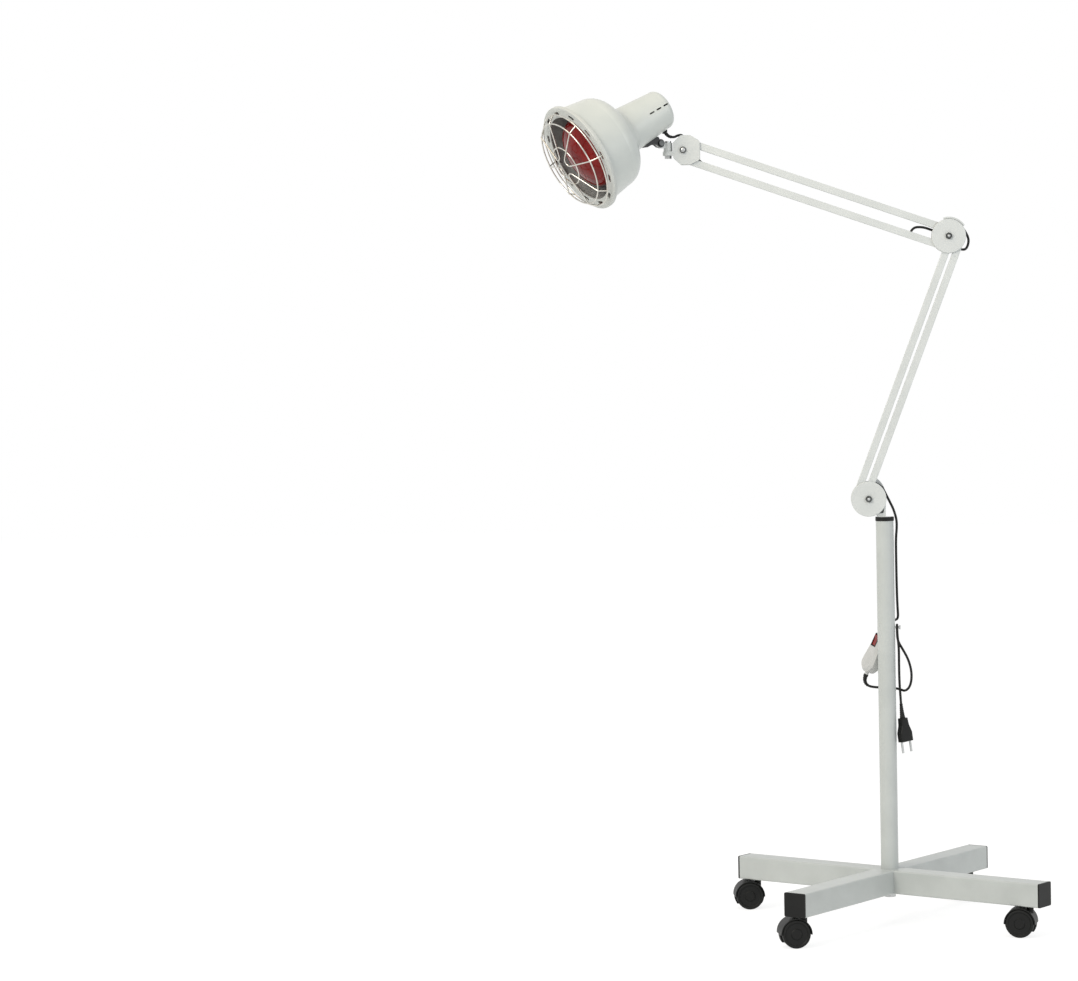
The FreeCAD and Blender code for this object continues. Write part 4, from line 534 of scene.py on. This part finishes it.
black_paint = moulded("semi_gloss_black_lacquer", "#171817", "#101110",
                      grain_mm=1.6, depth_mm=0.02, roughness=0.3)
black_plastic = moulded("spark_grained_black_polypropylene", "#141514", "#0D0E0D",
                        grain_mm=0.7, depth_mm=0.05, roughness=0.48)
cord_rubber = moulded("soft_pvc_cord_sheath", "#141514", "#0D0E0D",
                      grain_mm=1.3, depth_mm=0.02, roughness=0.4)
white_plastic = moulded("moulded_pale_grey_abs", "#C8C9C8", "#BDBFBE",
                        grain_mm=0.8, depth_mm=0.04, roughness=0.4,
                        speckle="#B2B4B3", mirrored=0.5)
red_plastic = moulded("glossy_red_polycarbonate", "#8E1A15", "#74130F",
                      grain_mm=2.0, depth_mm=0.01, roughness=0.18,
                      speckle="#9A2A22", mirrored=0.5)


# %% [markdown]
# ### Bare metal
#
# Pins and studs are zinc-plated steel, which is bright but a little grey and brushed by the
# wrench. The bolts of the three big joints and the tilt screw are a dull dark grey; round the
# bright cap on the front bolt this dark is painted shade, the shaded edge of the domed head. The
# wire guard is drawn steel wire with bright nickel plating. The bulb's cap is rolled brass, dulled
# by touch. A metal shows what stands around it, so its colour is pale and its grain lies in the
# gloss.

# %% Plated steel and brass
SCRATCH_STRETCH = (1, 1, 0.12)


def plated(name, light, dark, scratch_mm, roughness):
    material, tree, place = new_finish(name)
    stretched = add(tree, "ShaderNodeMapping", {"Vector": place, "Scale": SCRATCH_STRETCH})
    scratch = grain(tree, stretched.outputs["Vector"], scratch_mm, detail=4, roughness=0.7)
    haze = grain(tree, place, 9, detail=3)
    return finish_off(
        material, tree, Base_Color=two_tone(tree, haze, dark, light, start=0.35), Metallic=1.0,
        Roughness=level(tree, scratch, roughness - 0.05, roughness + 0.12, start=0.3, end=0.7),
        Normal=bump(tree, scratch, depth_mm=0.01, strength=0.5))


bright_steel = plated("zinc_plated_steel", "#C4C6C6", "#A9ABAA",
                      scratch_mm=0.6, roughness=0.28)
wire_plating = plated("bright_nickel_plated_wire", "#D9D7D0", "#C2BFB6",
                      scratch_mm=0.8, roughness=0.16)
cap_brass = plated("rolled_brass_cap", "#D1B068", "#A98A4B",
                   scratch_mm=0.7, roughness=0.3)
# Dark grey for the joint bolts; at the front bolt it paints the shaded edge round the bright cap.
dark_steel = plated("dark_grey_steel_with_painted_shade", "#626463", "#4B4D4C",
                    scratch_mm=0.6, roughness=0.4)


# %% [markdown]
# ### Porcelain
#
# The lamp holder is glazed white porcelain: a warm white body under a clear glaze that pools and
# ripples over a few millimetres.

# %% Glazed porcelain
def glazed(name):
    material, tree, place = new_finish(name)
    pools = grain(tree, place, 14)
    ripple = grain(tree, place, 6, detail=2)
    return finish_off(
        material, tree, Base_Color=two_tone(tree, pools, "#E3DFD3", "#EEEBE1"), Roughness=0.22,
        IOR=1.52, Coat_Weight=0.6, Coat_Roughness=0.06,
        Normal=bump(tree, ripple, depth_mm=0.08, strength=0.4))


porcelain = glazed("glazed_porcelain")

# %% [markdown]
# ### The bulb's glass
#
# A reflector bulb is blown from hard glass. Its face is dipped in ruby red lacquer that lets heat
# through, and the cone behind is silvered from the inside, so from outside it looks like a mirror
# under a clear skin. Both are opaque to the eye when the lamp is off, so no light has to be
# traced through them: the change is a short ramp along the bulb's own axis, where the widest part
# turns to the cone.

# %% Ruby and silver
def bulb_skin(name, change_mm, blur_mm):
    material, tree, place = new_finish(name)
    _, along = from_rim(tree, place)
    silvered = level(tree, along, 0, 1, start=change_mm - blur_mm, end=change_mm + blur_mm)
    swirl = grain(tree, place, 18, detail=3)
    red = two_tone(tree, swirl, "#650907", "#7F120D")
    silver = two_tone(tree, swirl, "#B9BAB8", "#CDCECC")
    return finish_off(
        material, tree, Base_Color=mix(tree, silvered, red, silver, "RGBA"), Metallic=silvered,
        Roughness=level(tree, silvered, 0.12, 0.2), Specular_IOR_Level=0.2,
        Normal=bump(tree, swirl, depth_mm=0.15, strength=0.3))


bulb_glass = bulb_skin("ruby_lacquered_and_silvered_glass", change_mm=27, blur_mm=1.5)

# %% Finishes onto the solids
FINISHES = {
    "frame_paint": frame_paint, "arm_paint": arm_paint, "shade_paint": shade_paint,
    "rim_paint": rim_paint, "black_paint": black_paint, "bright_steel": bright_steel,
    "wire_plating": wire_plating, "bulb_glass": bulb_glass, "cap_brass": cap_brass,
    "porcelain": porcelain, "cord_rubber": cord_rubber, "black_plastic": black_plastic,
    "white_plastic": white_plastic, "red_plastic": red_plastic,
}
# These bolts get the dark grey, which is painted shade round the front bolt's cap.
DARK_BOLTS = ("base_bolt", "elbow_bolt", "front_bolt", "tilt_screw")


def wear(piece, finish):
    """Gives a piece one material."""
    piece.data.materials.clear()
    piece.data.materials.append(finish)


slot_of = {part["node"]: part["material_slot"] for part in frame["record"]["subparts"]}
for name, node in nodes.items():
    wear(node, FINISHES[slot_of[name]])
for name in DARK_BOLTS:
    wear(nodes[name], dark_steel)
for piece in (*head_cord, *elbow_cord, *base_cord, column_cord, plug_cord,
              grommet_boot, switch_boot_above, switch_boot_below, plug_boot):
    wear(piece, cord_rubber)
print("finished solids:", len(nodes))

# %% [markdown]
# ### Caps on the joint bolts
#
# Each big joint has a bright domed cap pressed onto the dark head of its bolt: a wide one at the
# front and two small ones, at the elbow and above the column. The two small ones are painted
# highlights, small bright spots on the dark bolts. A dome is half of a flattened sphere: a full
# sphere is squeezed along the bolt, cut through its middle and closed there.

# %% Domed caps
CAP_FLATNESS = 0.4
SMALL_HIGHLIGHT_CAP_MM = 2.4
WIDE_CAP_MM = 3.9


def bolt_cap(name, node, body, radius_mm):
    """A dome whose flat side lies on the front face of a bolt's head, in the middle."""
    low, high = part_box(node)
    seat = Vector(((low[0] + high[0]) / 2, low[1], (low[2] + high[2]) / 2))
    bm = bmesh.new()
    bmesh.ops.create_uvsphere(bm, u_segments=32, v_segments=24, radius=radius_mm * MM)
    bmesh.ops.scale(bm, vec=(1, CAP_FLATNESS, 1), verts=bm.verts)
    cut = bmesh.ops.bisect_plane(
        bm, geom=[*bm.verts, *bm.edges, *bm.faces], plane_co=(0, 0, 0), plane_no=(0, 1, 0),
        clear_outer=True)["geom_cut"]
    bmesh.ops.holes_fill(bm, edges=[item for item in cut if isinstance(item, bmesh.types.BMEdge)])
    bmesh.ops.recalc_face_normals(bm, faces=bm.faces)
    bmesh.ops.translate(bm, verts=bm.verts, vec=seat)
    made = mesh_object(bm, name)
    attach(made, body)
    wear(made, bright_steel)
    print(name, "at", [round(value / MM, 1) for value in seat], "mm")


# The two small caps are painted highlights on the dark bolts.
bolt_cap("base_bolt_highlight_cap", "base_bolt", "swivel", SMALL_HIGHLIGHT_CAP_MM)
bolt_cap("elbow_bolt_highlight_cap", "elbow_bolt", "elbow", SMALL_HIGHLIGHT_CAP_MM)
bolt_cap("cap_on_front_bolt", "front_bolt", "front", WIDE_CAP_MM)

# %% [markdown]
# ## The studio
#
# The floor is one wide pale sheet that the light falls on from everywhere. To the camera, and in
# reflections, the world is plain white. The floor mixes its own lit surface with just enough
# white that the far floor, which gets about half of the light, comes out as white as the world,
# and no horizon shows; near the casters the lit share keeps their soft shadow. The light itself
# stays plain: an even sky, two large soft boxes, one in front on the left and a weaker one on the
# right, and a small warm one above the head that gives its round neck a bright edge.

# %% Floor
WHITE = (1, 1, 1, 1)
FLOOR_ACROSS = 24
FLOOR_BELOW = 0.0005
WHITE_SHARE = 0.65
FAR_FLOOR_LIT = 0.54


def seen_plainly(tree):
    """1 for rays from the camera, in reflections and through glass."""
    path = add(tree, "ShaderNodeLightPath").outputs
    first = add(tree, "ShaderNodeMath", {0: path["Is Camera Ray"], 1: path["Is Glossy Ray"]},
                operation="MAXIMUM")
    return add(tree, "ShaderNodeMath", {0: first.outputs[0], 1: path["Is Transmission Ray"]},
               operation="MAXIMUM").outputs[0]


bm = bmesh.new()
bmesh.ops.create_grid(bm, x_segments=1, y_segments=1, size=FLOOR_ACROSS / 2)
bmesh.ops.translate(bm, verts=bm.verts, vec=(0, 0, -FLOOR_BELOW))
floor = mesh_object(bm, "floor")
floor_finish = bpy.data.materials.new("plain_white_floor")
floor_finish.use_nodes = True
tree = floor_finish.node_tree
tree.nodes.clear()
matt = add(tree, "ShaderNodeBsdfDiffuse", {"Color": linear("#F4F4F3")})
white = add(tree, "ShaderNodeEmission", {
    "Color": WHITE, "Strength": (1 - (1 - WHITE_SHARE) * FAR_FLOOR_LIT) / WHITE_SHARE})
share = add(tree, "ShaderNodeMath", {0: seen_plainly(tree), 1: WHITE_SHARE}, operation="MULTIPLY")
both = add(tree, "ShaderNodeMixShader",
           {0: share.outputs[0], 1: matt.outputs[0], 2: white.outputs[0]})
add(tree, "ShaderNodeOutputMaterial", {"Surface": both.outputs[0]})
wear(floor, floor_finish)

# %% World
SKY_STRENGTH = 0.62

world = bpy.data.worlds.new("studio")
bpy.context.scene.world = world
world.use_nodes = True
tree = world.node_tree
tree.nodes.clear()
sky = add(tree, "ShaderNodeBackground", {"Color": WHITE, "Strength": SKY_STRENGTH})
plain = add(tree, "ShaderNodeBackground", {"Color": WHITE, "Strength": 1.0})
both = add(tree, "ShaderNodeMixShader",
           {0: seen_plainly(tree), 1: sky.outputs[0], 2: plain.outputs[0]})
add(tree, "ShaderNodeOutputWorld", {"Surface": both.outputs[0]})


# %% Soft boxes
def soft_box(name, place, aim, across, power, tint):
    """A square lamp at a place in metres, turned to its aim, with a power in watts."""
    data = bpy.data.lights.new(name, "AREA")
    data.shape = "SQUARE"
    data.size = across
    data.energy = power
    data.color = linear(tint)[:3]
    made = bpy.data.objects.new(name, data)
    bpy.context.scene.collection.objects.link(made)
    made.location = place
    made.rotation_mode = "QUATERNION"
    made.rotation_quaternion = (Vector(aim) - Vector(place)).to_track_quat("-Z", "Y")


soft_box("soft_box_left", (-2.4, -2.8, 2.6), (-0.1, 0, 0.8),
         across=1.8, power=70, tint="#FFFAF0")
soft_box("soft_box_right", (2.6, -2.2, 1.6), (0, 0, 0.8),
         across=1.6, power=22, tint="#F4F8FF")
soft_box("soft_box_above_head", (-1.0, -0.7, 2.7), (-0.42, -0.04, 1.36),
         across=0.9, power=7, tint="#FFE6BE")
bpy.context.scene.view_settings.view_transform = "Standard"
